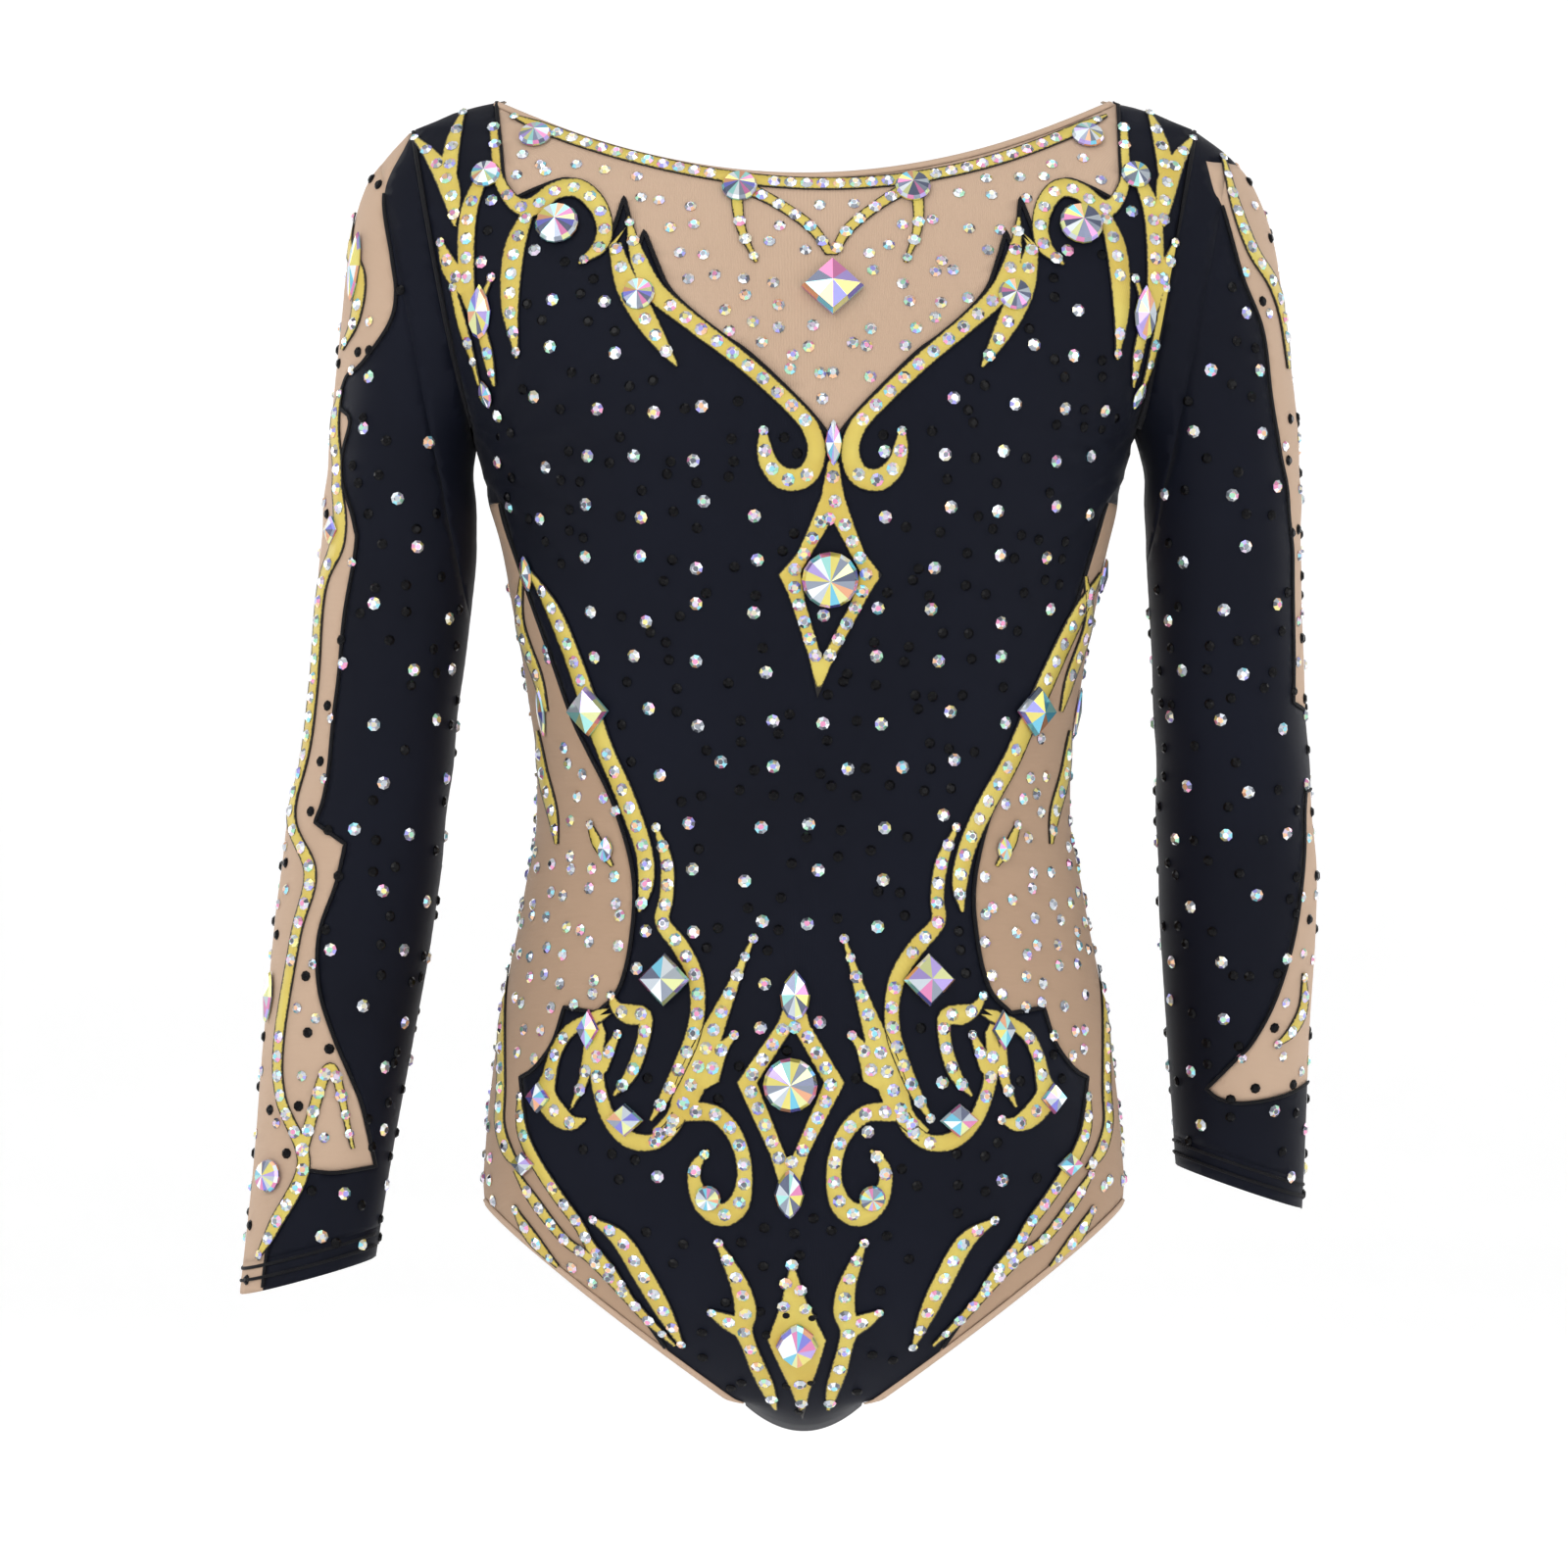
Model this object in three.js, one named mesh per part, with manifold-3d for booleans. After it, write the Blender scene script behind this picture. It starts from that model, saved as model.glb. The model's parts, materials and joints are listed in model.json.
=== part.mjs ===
// Long-sleeved gymnastics leotard: stretch fabric and mesh panels, elastics, raised trim
// and crystals. Millimetres, +Z up, the front faces -Y. The origin is the middle of the
// shoulder line, where a dress form carries the garment.
import * as THREE from 'three';
import { mergeVertices } from 'three/addons/utils/BufferGeometryUtils.js';
import Module from 'manifold-3d';

const wasm = await Module();
wasm.setup();

// ---------------------------------------------------------------- driving dimensions
const FABRIC = 1.4; // thickness of a fabric panel
const GAP = 0.3; // clearance between pieces that touch
const TRIM = 1.0; // thickness of the raised trim
const SEAM = 0.15; // half of the gap at a seam
const ROUNDNESS = 2.3; // exponent of the torso's superellipse sections
const NECK_HALF = 133; // half width of the boat neck
const NECK_DROP = 36.5; // how far the neck edge dips at the centre
const SHOULDER = { x: 167, z: -13.4 }; // top of the armhole
const ARMPIT = { x: 141, z: -146 }; // bottom of the armhole
const CROTCH_Z = -570;
const LEG_TOP = { x: 136, z: -470 }; // where the leg opening meets the side
const LEG_LOW = { x: 26, z: -557 }; // where it meets the crotch
const ELASTIC = 6; // width of the neck and leg elastics
const HEM = 13; // height of a sleeve's cuff
const GUSSET = { half: 30, top: -500 }; // half width and upper edge of the lining at the crotch
const SLEEVE_TOP = -14; // where both sleeves start, just under the shoulder
const UNDER_ARM = 1.2; // how far the torso reaches past the armpit, under the sleeve
const SLEEVE_REACH = 8; // how far the sleeve's cutting block reaches in under the armpit
const TORSO_GRID = { around: 24, down: 19 };
const SLEEVE_GRID = { around: 12, down: 12 };
const NECK_POINTS = 13;
// Cutting blocks reach past the garment on every side.
const FAR = 320;
const ABOVE = 60;
const BELOW = -700;
const SHARPEST = 0.4; // keeps an outline's sharp corners from moving out without limit
const THINNEST = 0.6; // width of a trim stroke's point
// A crystal's height over its width, the band added to it, and the table's radius over its width.
const CROWN = { share: 0.22, band: 1, table: 0.3 };

// ---------------------------------------------------------------- body shape
/** A smooth curve through [height, value] knots listed from the top down. */
function profile(knots) {
  const slopes = knots.map((knot, i) => {
    const above = knots[Math.max(i - 1, 0)];
    const below = knots[Math.min(i + 1, knots.length - 1)];
    return (below[1] - above[1]) / (below[0] - above[0]);
  });
  return (z) => {
    let i = 0;
    while (i < knots.length - 2 && z < knots[i + 1][0]) i += 1;
    const span = knots[i + 1][0] - knots[i][0];
    const t = THREE.MathUtils.clamp((z - knots[i][0]) / span, 0, 1);
    const ease = t * t * (3 - 2 * t);
    const rise = span * (slopes[i] * t * (1 - t) ** 2 - slopes[i + 1] * t * t * (1 - t));
    return knots[i][1] * (1 - ease) + knots[i + 1][1] * ease + rise;
  };
}

const frontDepth = profile([[0, 5], [-3, 12], [-8, 20], [-14, 27], [-25, 38], [-40, 50], [-60, 62],
  [-90, 76], [-120, 84], [-146, 87], [-185, 85], [-220, 79], [-282, 72], [-335, 76], [-380, 82],
  [-430, 84], [-473, 78], [-505, 66], [-530, 51], [-550, 34], [-562, 19], [-570, 4]]);
const backDepth = profile([[0, 5], [-3, 12], [-8, 20], [-14, 27], [-25, 38], [-40, 50], [-60, 62],
  [-90, 76], [-120, 84], [-146, 87], [-185, 84], [-235, 74], [-290, 68], [-335, 76], [-390, 93],
  [-440, 101], [-480, 96], [-510, 81], [-535, 60], [-553, 38], [-563, 21], [-570, 4]]);
const torsoSide = profile([[0, 128], [-4, 146], [-9, 158], [-13.4, 167], [-145.9, 141], [-146, 141],
  [-185, 131], [-217, 125], [-255, 118], [-290, 114], [-310, 114.5], [-335, 118.5], [-368, 125],
  [-401, 131], [-446, 136], [-473, 136], [-510, 122], [-540, 88], [-556, 56], [-565, 32], [-570, 10]]);

const leftSleeve = {
  side: -1,
  outer: profile([[-14, 169], [-24, 178], [-36, 187], [-60, 194], [-95, 198], [-146, 203], [-220, 209],
    [-275, 214], [-320, 222], [-400, 230], [-455, 234], [-515, 240]]),
  inner: profile([[-14, 163], [-20, 150], [-30, 125], [-60, 102], [-90, 106], [-120, 122], [-146, 139.5],
    [-195, 140], [-265, 148], [-350, 157.5], [-400, 166], [-450, 175], [-515, 185]]),
  depth: profile([[-14, 3], [-20, 13], [-30, 23], [-60, 38], [-90, 42], [-120, 41], [-146, 38],
    [-200, 36], [-300, 34.5], [-360, 33.5], [-410, 31], [-455, 28.5], [-515, 27]]),
  forward: profile([[-14, 0], [-146, 0], [-300, 6], [-515, 22]]),
  cuff: { inner: { x: 180, z: -493 }, outer: { x: 240, z: -509 } },
};
const rightSleeve = {
  side: 1,
  outer: profile([[-14, 169], [-24, 182], [-36, 192], [-60, 201], [-95, 206], [-146, 212], [-220, 214],
    [-275, 217], [-340, 222], [-400, 220], [-455, 219], [-490, 218]]),
  inner: profile([[-14, 163], [-20, 150], [-30, 125], [-60, 102], [-90, 106], [-120, 122], [-146, 142.5],
    [-195, 147], [-265, 151], [-345, 154], [-400, 158], [-450, 162], [-490, 165]]),
  depth: profile([[-14, 3], [-20, 13], [-30, 23], [-60, 38], [-90, 42], [-120, 41], [-146, 38],
    [-200, 36], [-300, 34.5], [-360, 33], [-410, 30], [-450, 28], [-490, 27]]),
  forward: profile([[-14, 0], [-146, 0], [-300, -16], [-490, -52]]),
  cuff: { inner: { x: 160, z: -458 }, outer: { x: 221, z: -479 } },
};

/** Half the distance between the armholes at height z. */
function armholeX(z) {
  return THREE.MathUtils.mapLinear(z, SHOULDER.z, ARMPIT.z, SHOULDER.x, ARMPIT.x);
}

/** Half the torso's width: above the armpit it meets the sleeve's own depth at the armhole. */
function torsoHalfWidth(z) {
  if (z >= SHOULDER.z || z <= ARMPIT.z) return torsoSide(z);
  const centre = (leftSleeve.outer(z) + leftSleeve.inner(z)) / 2;
  const half = (leftSleeve.outer(z) - leftSleeve.inner(z)) / 2;
  const reach = Math.sqrt(Math.max(1 - ((armholeX(z) - centre) / half) ** 2, 0));
  const share = (reach * leftSleeve.depth(z)) / frontDepth(z);
  return armholeX(z) / (1 - share ** ROUNDNESS) ** (1 / ROUNDNESS);
}

/** A power that keeps its sign. */
function signedPower(value, power) {
  return Math.sign(value) * Math.abs(value) ** power;
}

/** A point of the torso's outer surface; the angle runs from +X over the front. */
function torsoPoint(angle, z) {
  const across = signedPower(Math.cos(angle), 2 / ROUNDNESS);
  const along = signedPower(Math.sin(angle), 2 / ROUNDNESS);
  const depth = along > 0 ? frontDepth(z) : backDepth(z);
  return new THREE.Vector3(torsoHalfWidth(z) * across, -depth * along, z);
}

/** The same for a sleeve. */
function sleevePoint(sleeve, angle, z) {
  const centre = (sleeve.outer(z) + sleeve.inner(z)) / 2;
  const half = (sleeve.outer(z) - sleeve.inner(z)) / 2;
  const x = sleeve.side * centre + half * Math.cos(angle);
  return new THREE.Vector3(x, -sleeve.depth(z) * Math.sin(angle) - sleeve.forward(z), z);
}

/** The outward normal of a surface, from short steps round it and down it. */
function surfaceNormal(surface, angle, z) {
  const turn = 0.02;
  const drop = 0.6;
  const around = surface(angle + turn, z).sub(surface(angle - turn, z));
  const down = surface(angle, z - drop).sub(surface(angle, z + drop));
  return around.cross(down).normalize();
}

/** Heights from top to bottom, closer together near both ends. */
function levels(top, bottom, count) {
  return Array.from({ length: count + 1 }, (_, i) => {
    const even = i / count;
    const eased = (1 - Math.cos(Math.PI * even)) / 2;
    return THREE.MathUtils.lerp(top, bottom, (even + eased) / 2);
  });
}

// ---------------------------------------------------------------- solids
/** A closed geometry as a solid that can be joined and cut. */
function solid(geometry) {
  geometry.deleteAttribute('normal');
  geometry.deleteAttribute('uv');
  const merged = mergeVertices(geometry);
  return new wasm.Manifold(new wasm.Mesh({
    numProp: 3,
    vertProperties: new Float32Array(merged.getAttribute('position').array),
    triVerts: new Uint32Array(merged.getIndex().array),
  }));
}

/** A solid bounded by a surface that is moved along its normal by offset. */
function loft(surface, heights, around, offset) {
  const points = [];
  const triangles = [];
  for (const z of heights) {
    for (let i = 0; i < around; i += 1) {
      const angle = (2 * Math.PI * i) / around;
      const normal = surfaceNormal(surface, angle, z);
      points.push(...surface(angle, z).addScaledVector(normal, offset).toArray());
    }
  }
  const rows = heights.length - 1;
  for (let row = 0; row < rows; row += 1) {
    for (let i = 0; i < around; i += 1) {
      const next = (i + 1) % around;
      const [a, b] = [row * around + i, row * around + next];
      const [c, d] = [b + around, a + around];
      triangles.push(a, b, c, a, c, d);
    }
  }
  for (const [row, flip] of [[0, true], [rows, false]]) {
    const centre = points.length / 3;
    const ring = points.slice(row * around * 3, (row + 1) * around * 3);
    for (let axis = 0; axis < 3; axis += 1) {
      points.push(ring.filter((_, i) => i % 3 === axis).reduce((sum, value) => sum + value) / around);
    }
    for (let i = 0; i < around; i += 1) {
      const edge = [row * around + i, row * around + ((i + 1) % around)];
      if (flip) edge.reverse();
      triangles.push(centre, ...edge);
    }
  }
  const geometry = new THREE.BufferGeometry();
  geometry.setAttribute('position', new THREE.Float32BufferAttribute(points, 3));
  geometry.setIndex(triangles);
  return solid(geometry);
}

/** A block along Y whose front view is an outline of [x, z] points. */
function prism(outline, back = FAR) {
  const shape = new THREE.Shape(outline.map(([x, z]) => new THREE.Vector2(x, z)));
  const geometry = new THREE.ExtrudeGeometry(shape, { depth: FAR + back, bevelEnabled: false });
  geometry.rotateX(Math.PI / 2);
  geometry.translate(0, back, 0);
  return solid(geometry);
}

/** An outline moved outwards by a distance, its points listed either way round. */
function grown(outline, distance) {
  const area = THREE.ShapeUtils.area(outline.map(([x, z]) => new THREE.Vector2(x, z)));
  const out = Math.sign(area) * distance;
  const count = outline.length;
  return outline.map(([x, z], i) => {
    const [px, pz] = outline[(i + count - 1) % count];
    const [nx, nz] = outline[(i + 1) % count];
    const before = new THREE.Vector2(z - pz, px - x).normalize();
    const after = new THREE.Vector2(nz - z, x - nx).normalize();
    const corner = before.clone().add(after).normalize();
    const stretch = out / Math.max(corner.dot(before), SHARPEST);
    return [x + corner.x * stretch, z + corner.y * stretch];
  });
}

/** The widest single body of a solid. */
function largest(manifold) {
  return manifold.decompose().reduce((best, piece) => (piece.volume() > best.volume() ? piece : best));
}

// The print stands off centre: it leans across the chest and back over the hips.
const lean = profile([[0, 4], [-60, 11], [-200, 11], [-262, 5], [-400, -5], [-470, -6], [-570, 0]]);

/** The place of a print point, given from the print's own middle line. */
function placed([x, z]) {
  return [x + lean(z) * (1 - Math.min(Math.abs(x) / SHOULDER.x, 1) ** 2), z];
}

/** A stroke's outline: [x, z, width] stations joined by a smooth curve, pointed where thin. */
function stroke(stations, side) {
  const path = stations.map(([x, z, width]) => new THREE.Vector3(side * x, z, width));
  const curve = new THREE.CatmullRomCurve3(path, false, 'centripetal');
  const steps = (stations.length - 1) * 2;
  const near = [];
  const far = [];
  for (let i = 0; i <= steps; i += 1) {
    const point = curve.getPoint(i / steps);
    const along = curve.getTangent(i / steps);
    const normal = new THREE.Vector2(-along.y, along.x).normalize();
    const half = Math.max(point.z, THINNEST) / 2;
    near.push([point.x + normal.x * half, point.y + normal.y * half]);
    far.unshift([point.x - normal.x * half, point.y - normal.y * half]);
  }
  return [...near, ...far];
}

/** A half outline closed by its mirror image. */
function mirrored(half) {
  const other = half.filter(([x]) => Math.abs(x) > 0.01).map(([x, z]) => [-x, z]).reverse();
  return [...half, ...other];
}

// ---------------------------------------------------------------- layers of the garment
const torsoHeights = levels(0, CROTCH_Z, TORSO_GRID.down);
const torsoLayer = (offset) => loft(torsoPoint, torsoHeights, TORSO_GRID.around, offset);
const torsoOuter = torsoLayer(0);
const torsoShell = torsoOuter.subtract(torsoLayer(-FABRIC));
const torsoTrim = torsoLayer(GAP + TRIM).subtract(torsoLayer(GAP));
const torsoLining = torsoLayer(-FABRIC - 2 * GAP).subtract(torsoLayer(-FABRIC - 2 * GAP - TRIM));

/** Height of the neck edge at x. */
function neckEdge(x) {
  return -NECK_DROP * (1 - (x / NECK_HALF) ** 2);
}
const neckLine = Array.from({ length: NECK_POINTS }, (_, i) => {
  const x = THREE.MathUtils.lerp(-NECK_HALF, NECK_HALF, i / (NECK_POINTS - 1));
  return [x, neckEdge(x)];
});
const neckCut = [...neckLine, [NECK_HALF, ABOVE], [-NECK_HALF, ABOVE]];
const legCut = (side) => [[side * FAR, LEG_TOP.z], [side * LEG_TOP.x, LEG_TOP.z],
  [side * LEG_LOW.x, LEG_LOW.z], [side * (LEG_LOW.x - 4), BELOW], [side * FAR, BELOW]];

/** The block between both armholes, its edge half a seam inside them. */
function betweenArmholes() {
  const side = ARMPIT.x + UNDER_ARM;
  const half = [[0, ABOVE], [armholeX(ABOVE) - SEAM, ABOVE], [ARMPIT.x - SEAM, ARMPIT.z],
    [side, ARMPIT.z - 2], [side, BELOW], [0, BELOW]];
  return prism(mirrored(half));
}
const torsoRoom = betweenArmholes().subtract(prism(neckCut)).subtract(prism(legCut(1)))
  .subtract(prism(legCut(-1)));
const sewnTorso = torsoShell.intersect(torsoRoom);
const trimRoom = torsoTrim.intersect(torsoRoom);

const yokeEdge = [[0, -152], [-10, -139], [-33, -116], [-45, -106], [-62, -92], [-72, -79], [-82, -72],
  [-94, -63], [-97, -45], [-105, -39], [-116, -41.5], [-129, -50], [-132, -36], [-133, -20], [-137, 30]];
const yokeOutline = mirrored(yokeEdge).map(placed);
const sideEdge = [[150, -172], [129, -174], [121, -196], [115, -214], [98, -262], [91, -278], [79, -302],
  [71, -332], [72, -358], [77, -378], [86, -388], [100, -386], [105, -401], [113, -412], [119, -416],
  [117, -431], [114, -448], [102, -464], [82, -493], [65, -519], [48, -545], [150, -560]];
const sideOutline = (side) => sideEdge.map(([x, z]) => [side * x, z]);
const frontHalf = [[-FAR, -FAR], [FAR, -FAR], [FAR, -SEAM], [-FAR, -SEAM]];

/** Everything in front of, or behind, the side seams. */
function halfSpace(front) {
  const shape = new THREE.Shape(frontHalf.map(([x, y]) => new THREE.Vector2(x, front ? y : -y)));
  const geometry = new THREE.ExtrudeGeometry(shape, { depth: FAR - BELOW, bevelEnabled: false });
  geometry.translate(0, 0, BELOW);
  return solid(geometry);
}
const inFront = halfSpace(true);
const behind = halfSpace(false);

// ---------------------------------------------------------------- nodes
const BLACK = { color: 0x12131a, roughness: 0.62, metalness: 0 };
const NUDE = { color: 0xc8ad95, roughness: 0.8, metalness: 0 };
const YELLOW = { color: 0xd6be4e, roughness: 0.55, metalness: 0 };
const WHITE = { color: 0xd8d4cc, roughness: 0.7, metalness: 0 };
const CRYSTAL = { color: 0xd9e4ee, roughness: 0.05, metalness: 0.1 };
const leotard = new THREE.Group();

/** Adds one named piece to the garment. */
function addPiece(name, geometry, finish) {
  const mesh = new THREE.Mesh(geometry, new THREE.MeshStandardMaterial(finish));
  mesh.name = name;
  leotard.add(mesh);
  return mesh;
}

/** Adds a cut solid as a named piece. */
function addSolid(name, manifold, finish) {
  const mesh = largest(manifold).getMesh();
  const geometry = new THREE.BufferGeometry();
  geometry.setAttribute('position', new THREE.Float32BufferAttribute(mesh.vertProperties, 3));
  geometry.setIndex(Array.from(mesh.triVerts));
  return addPiece(name, geometry, finish);
}

// Torso panels.
const yokeBlock = prism(yokeOutline);
const yokeClear = prism(grown(yokeOutline, GAP));
const sideBlocks = [-1, 1].map((side) => prism(sideOutline(side)));
const sideClear = [-1, 1].map((side) => prism(grown(sideOutline(side), GAP)));
const blackTorso = sewnTorso.subtract(yokeClear).subtract(sideClear[0]).subtract(sideClear[1]);
addSolid('front_panel', blackTorso.intersect(inFront), BLACK);
addSolid('back_panel', blackTorso.intersect(behind), BLACK);
addSolid('front_yoke_mesh', sewnTorso.intersect(yokeBlock).intersect(inFront), NUDE);
addSolid('back_yoke_mesh', sewnTorso.intersect(yokeBlock).intersect(behind), NUDE);
addSolid('side_mesh_left', sewnTorso.intersect(sideBlocks[0]), NUDE);
addSolid('side_mesh_right', sewnTorso.intersect(sideBlocks[1]), NUDE);

// Inside: elastics along the neck and leg edges, and the gusset lining between them.
const lining = torsoLining.intersect(torsoRoom);
const neckBand = prism(grown(neckCut, ELASTIC));
addSolid('neck_elastic', lining.intersect(neckBand), WHITE);
for (const [side, word] of [[-1, 'left'], [1, 'right']]) {
  addSolid(`leg_elastic_${word}`, lining.intersect(prism(grown(legCut(side), ELASTIC))), WHITE);
}
const gussetHalf = [[0, GUSSET.top], [GUSSET.half, GUSSET.top], [GUSSET.half, BELOW], [0, BELOW]];
const gusset = lining.intersect(prism(mirrored(gussetHalf)))
  .subtract(prism(grown(legCut(-1), ELASTIC + GAP)))
  .subtract(prism(grown(legCut(1), ELASTIC + GAP)));
addSolid('gusset_lining', gusset, NUDE);

// Sleeves: black panel, mesh inlay and cuff hem.
/** A sleeve's front-view outline below a line that runs from the inner to the outer cuff. */
function belowCuff(sleeve, lift) {
  const { inner, outer } = sleeve.cuff;
  const slope = (outer.z - inner.z) / (outer.x - inner.x);
  const at = (x) => inner.z + (x - inner.x) * slope + lift;
  const near = ARMPIT.x - SLEEVE_REACH;
  const outline = [[near, at(near)], [FAR, at(FAR)], [FAR, BELOW], [near, BELOW]];
  return outline.map(([x, z]) => [sleeve.side * x, z]);
}

/** Everything outside the armhole of one sleeve. */
function outsideArmhole(side) {
  const near = ARMPIT.x - SLEEVE_REACH;
  const outline = [[armholeX(ABOVE) + SEAM, ABOVE], [ARMPIT.x + SEAM, ARMPIT.z],
    [near, ARMPIT.z - 2], [near, BELOW], [FAR, BELOW], [FAR, ABOVE]];
  return prism(outline.map(([x, z]) => [side * x, z]));
}

/** The three layers of a sleeve, cut at the armhole and at the cuff. */
function sleeveLayers(sleeve, bottom) {
  const surface = (angle, z) => sleevePoint(sleeve, angle, z);
  const heights = levels(SLEEVE_TOP, bottom, SLEEVE_GRID.down);
  const layer = (offset) => loft(surface, heights, SLEEVE_GRID.around, offset);
  const room = outsideArmhole(sleeve.side).subtract(prism(belowCuff(sleeve, 0)));
  const underArm = ARMPIT.z + 3;
  const low = prism([[-FAR, underArm], [FAR, underArm], [FAR, BELOW], [-FAR, BELOW]]);
  const torsoClear = torsoLayer(GAP).intersect(low);
  const free = room.subtract(torsoClear);
  return {
    shell: layer(0).subtract(layer(-FABRIC)).intersect(free),
    trim: layer(GAP + TRIM).subtract(layer(GAP)).intersect(free),
  };
}

const leftInlay = [[-166, -10], [-170, -21], [-178, -42], [-174, -70], [-172, -86], [-175, -99],
  [-187, -115], [-194, -120], [-197, -132], [-192, -139], [-196, -158], [-190, -183], [-189, -192],
  [-194, -221], [-197, -252], [-202, -295], [-206, -309], [-193, -318], [-197, -335], [-204, -356],
  [-204, -378], [-198, -398], [-191, -415], [-186, -429], [-181, -454], [-208, -455], [-218, -470],
  [-225, -485], [-230, -530], [-300, -530], [-300, -10]];
const rightUpperInlay = [[174, -42], [177, -48], [185, -78], [194, -101], [198, -132], [204, -164],
  [207, -185], [208, -202], [209, -258], [221, -264], [300, -264], [300, -30], [171, -30]];
const rightLowerInlay = [[225, -292], [215, -296], [214, -322], [211, -353], [203, -383], [193, -403],
  [184, -413], [174, -424], [179, -428], [189, -430], [207, -427], [218, -421], [300, -410], [300, -292]];

const sleeveJobs = [
  { word: 'left', sleeve: leftSleeve, bottom: -515, inlays: { mesh: leftInlay } },
  { word: 'right', sleeve: rightSleeve, bottom: -490,
    inlays: { mesh_upper: rightUpperInlay, mesh_lower: rightLowerInlay } },
];
const sleeveTrim = {};
for (const { word, sleeve, bottom, inlays } of sleeveJobs) {
  const { shell, trim } = sleeveLayers(sleeve, bottom);
  sleeveTrim[word] = trim;
  const hem = prism(belowCuff(sleeve, HEM));
  const hemClear = prism(belowCuff(sleeve, HEM + GAP));
  addSolid(`sleeve_${word}_cuff`, shell.intersect(hem), BLACK);
  let black = shell.subtract(hemClear);
  for (const [part, outline] of Object.entries(inlays)) {
    addSolid(`sleeve_${word}_${part}`, shell.subtract(hemClear).intersect(prism(outline)), NUDE);
    black = black.subtract(prism(grown(outline, GAP)));
  }
  addSolid(`sleeve_${word}_panel`, black, BLACK);
}

// Raised trim. A stroke is a list of [distance from the middle line, height, width].
const pairedTrim = {
  shoulder_flame: [[[161, -21, 1.5], [157, -35, 4], [150, -50, 5], [146, -60, 4], [143, -80, 4.5],
    [142, -101, 1]], [[143, -10, 2], [146, -30, 5], [146, -60, 4]],
  [[152, -66, 1], [147, -84, 4], [142, -100, 4], [137, -119, 1]]],
  yoke_scroll: [[[137, -41, 1.5], [128, -53, 4], [117, -48, 5], [106, -44, 5.5], [100, -51, 5.5],
    [99, -62, 5], [103, -74, 1]], [[128, -52, 3], [132, -67, 4.5], [134.5, -87, 4.5], [133, -113, 1]]],
  yoke_swoosh: [[[28, -146, 1], [30, -157, 4], [20, -166, 6], [10, -161, 6], [9, -150, 4], [14, -142, 5],
    [36, -122, 5.5], [64, -98, 6], [76, -86, 6], [87, -71, 4], [90, -62, 1]],
  [[78, -82, 3], [82, -95, 5], [75, -108, 4], [63, -120, 1]]],
  side_vine: [[[120, -203, 1], [110, -220, 5], [101, -240, 6], [92, -262, 6], [85, -280, 6], [75, -300, 6],
    [67, -320, 6], [65, -335, 5], [67, -346, 1]]],
  hip_vine: [[[63, -309, 1], [57, -325, 4.5], [56, -340, 4.5], [58, -352, 5], [49, -364, 5.5],
    [43, -380, 5.5], [43, -396, 5], [47, -412, 4], [58, -430, 1]],
  [[46, -374, 4], [60, -387, 4], [63, -398, 4], [67, -410, 3.5], [76, -421, 1]]],
  hip_swoosh: [[[17, -357, 1], [22, -370, 1.5], [27, -385, 3], [32, -400, 8], [38, -415, 9],
    [46, -428, 7], [54, -437, 1]], [[31, -402, 4], [22, -395, 1]],
  [[40, -424, 5], [29, -430, 6], [21, -440, 6], [18, -455, 6.5], [21, -468, 7], [30, -472, 6.5],
    [37, -464, 5], [38, -453, 3], [32, -446, 1]]],
  crotch_flame: [[[31, -482, 1], [24, -495, 5], [21, -505, 6], [23, -514, 9], [21, -524, 6],
    [18, -536, 5], [15, -547, 3.5], [13, -553, 1]]],
  leg_strip: [[[86, -475, 1], [74, -482, 4], [65, -497, 4], [57, -512, 4], [51, -525, 1]]],
};

/** A join of several strokes' blocks, reaching back as far as the middle of the limb or torso. */
function strokeBlock(strokes, side, place = (point) => point, back = 0) {
  return strokes.map((stations) => prism(stroke(stations, side).map(place), back))
    .reduce((all, block) => all.add(block));
}
const asDrawn = (point) => point;
for (const [name, strokes] of Object.entries(pairedTrim)) {
  for (const [side, word] of [[-1, 'left'], [1, 'right']]) {
    addSolid(`${name}_${word}`, trimRoom.intersect(strokeBlock(strokes, side, placed)), YELLOW);
  }
}

const neckBandStroke = Array.from({ length: 9 }, (_, i) => {
  const x = THREE.MathUtils.lerp(-104, 104, i / 8);
  return [x, neckEdge(x) - 5, Math.abs(i - 4) === 4 ? 1 : 5];
});
const neckLegs = [-1, 1].flatMap((side) => [
  [[side * 36, -42, 5], [side * 22, -50, 4], [side * 8, -61, 4], [side * -1, -72, 3]],
  [[side * 38, -40, 5], [side * 37, -60, 3.5], [side * 31, -76, 1]]]);
addSolid('neck_trim', trimRoom.intersect(strokeBlock([neckBandStroke, ...neckLegs], 1, placed)), YELLOW);

/** A closed frame or drop on the middle line: an outline with an optional window. */
function addMiddleTrim(name, outline, windowOutline) {
  let block = prism(mirrored(outline).map(placed), 0);
  if (windowOutline) block = block.subtract(prism(mirrored(windowOutline).map(placed), 0));
  addSolid(name, trimRoom.intersect(block), YELLOW);
}
addMiddleTrim('centre_drop', [[0, -158], [-2, -162], [-4, -174], [-10, -185], [-13, -197], [-21, -206],
  [-11, -222], [-5, -238], [0, -251]], [[0, -184], [-13, -206], [0, -240]]);
addMiddleTrim('diamond_frame', [[0, -371], [-7, -392], [-22.5, -416], [-8, -446], [0, -473]],
  [[0, -394], [-13.5, -416], [0, -449]]);
addMiddleTrim('crotch_drop', [[0, -490], [-3, -505], [-12, -526], [-4, -544], [0, -554]]);

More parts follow.
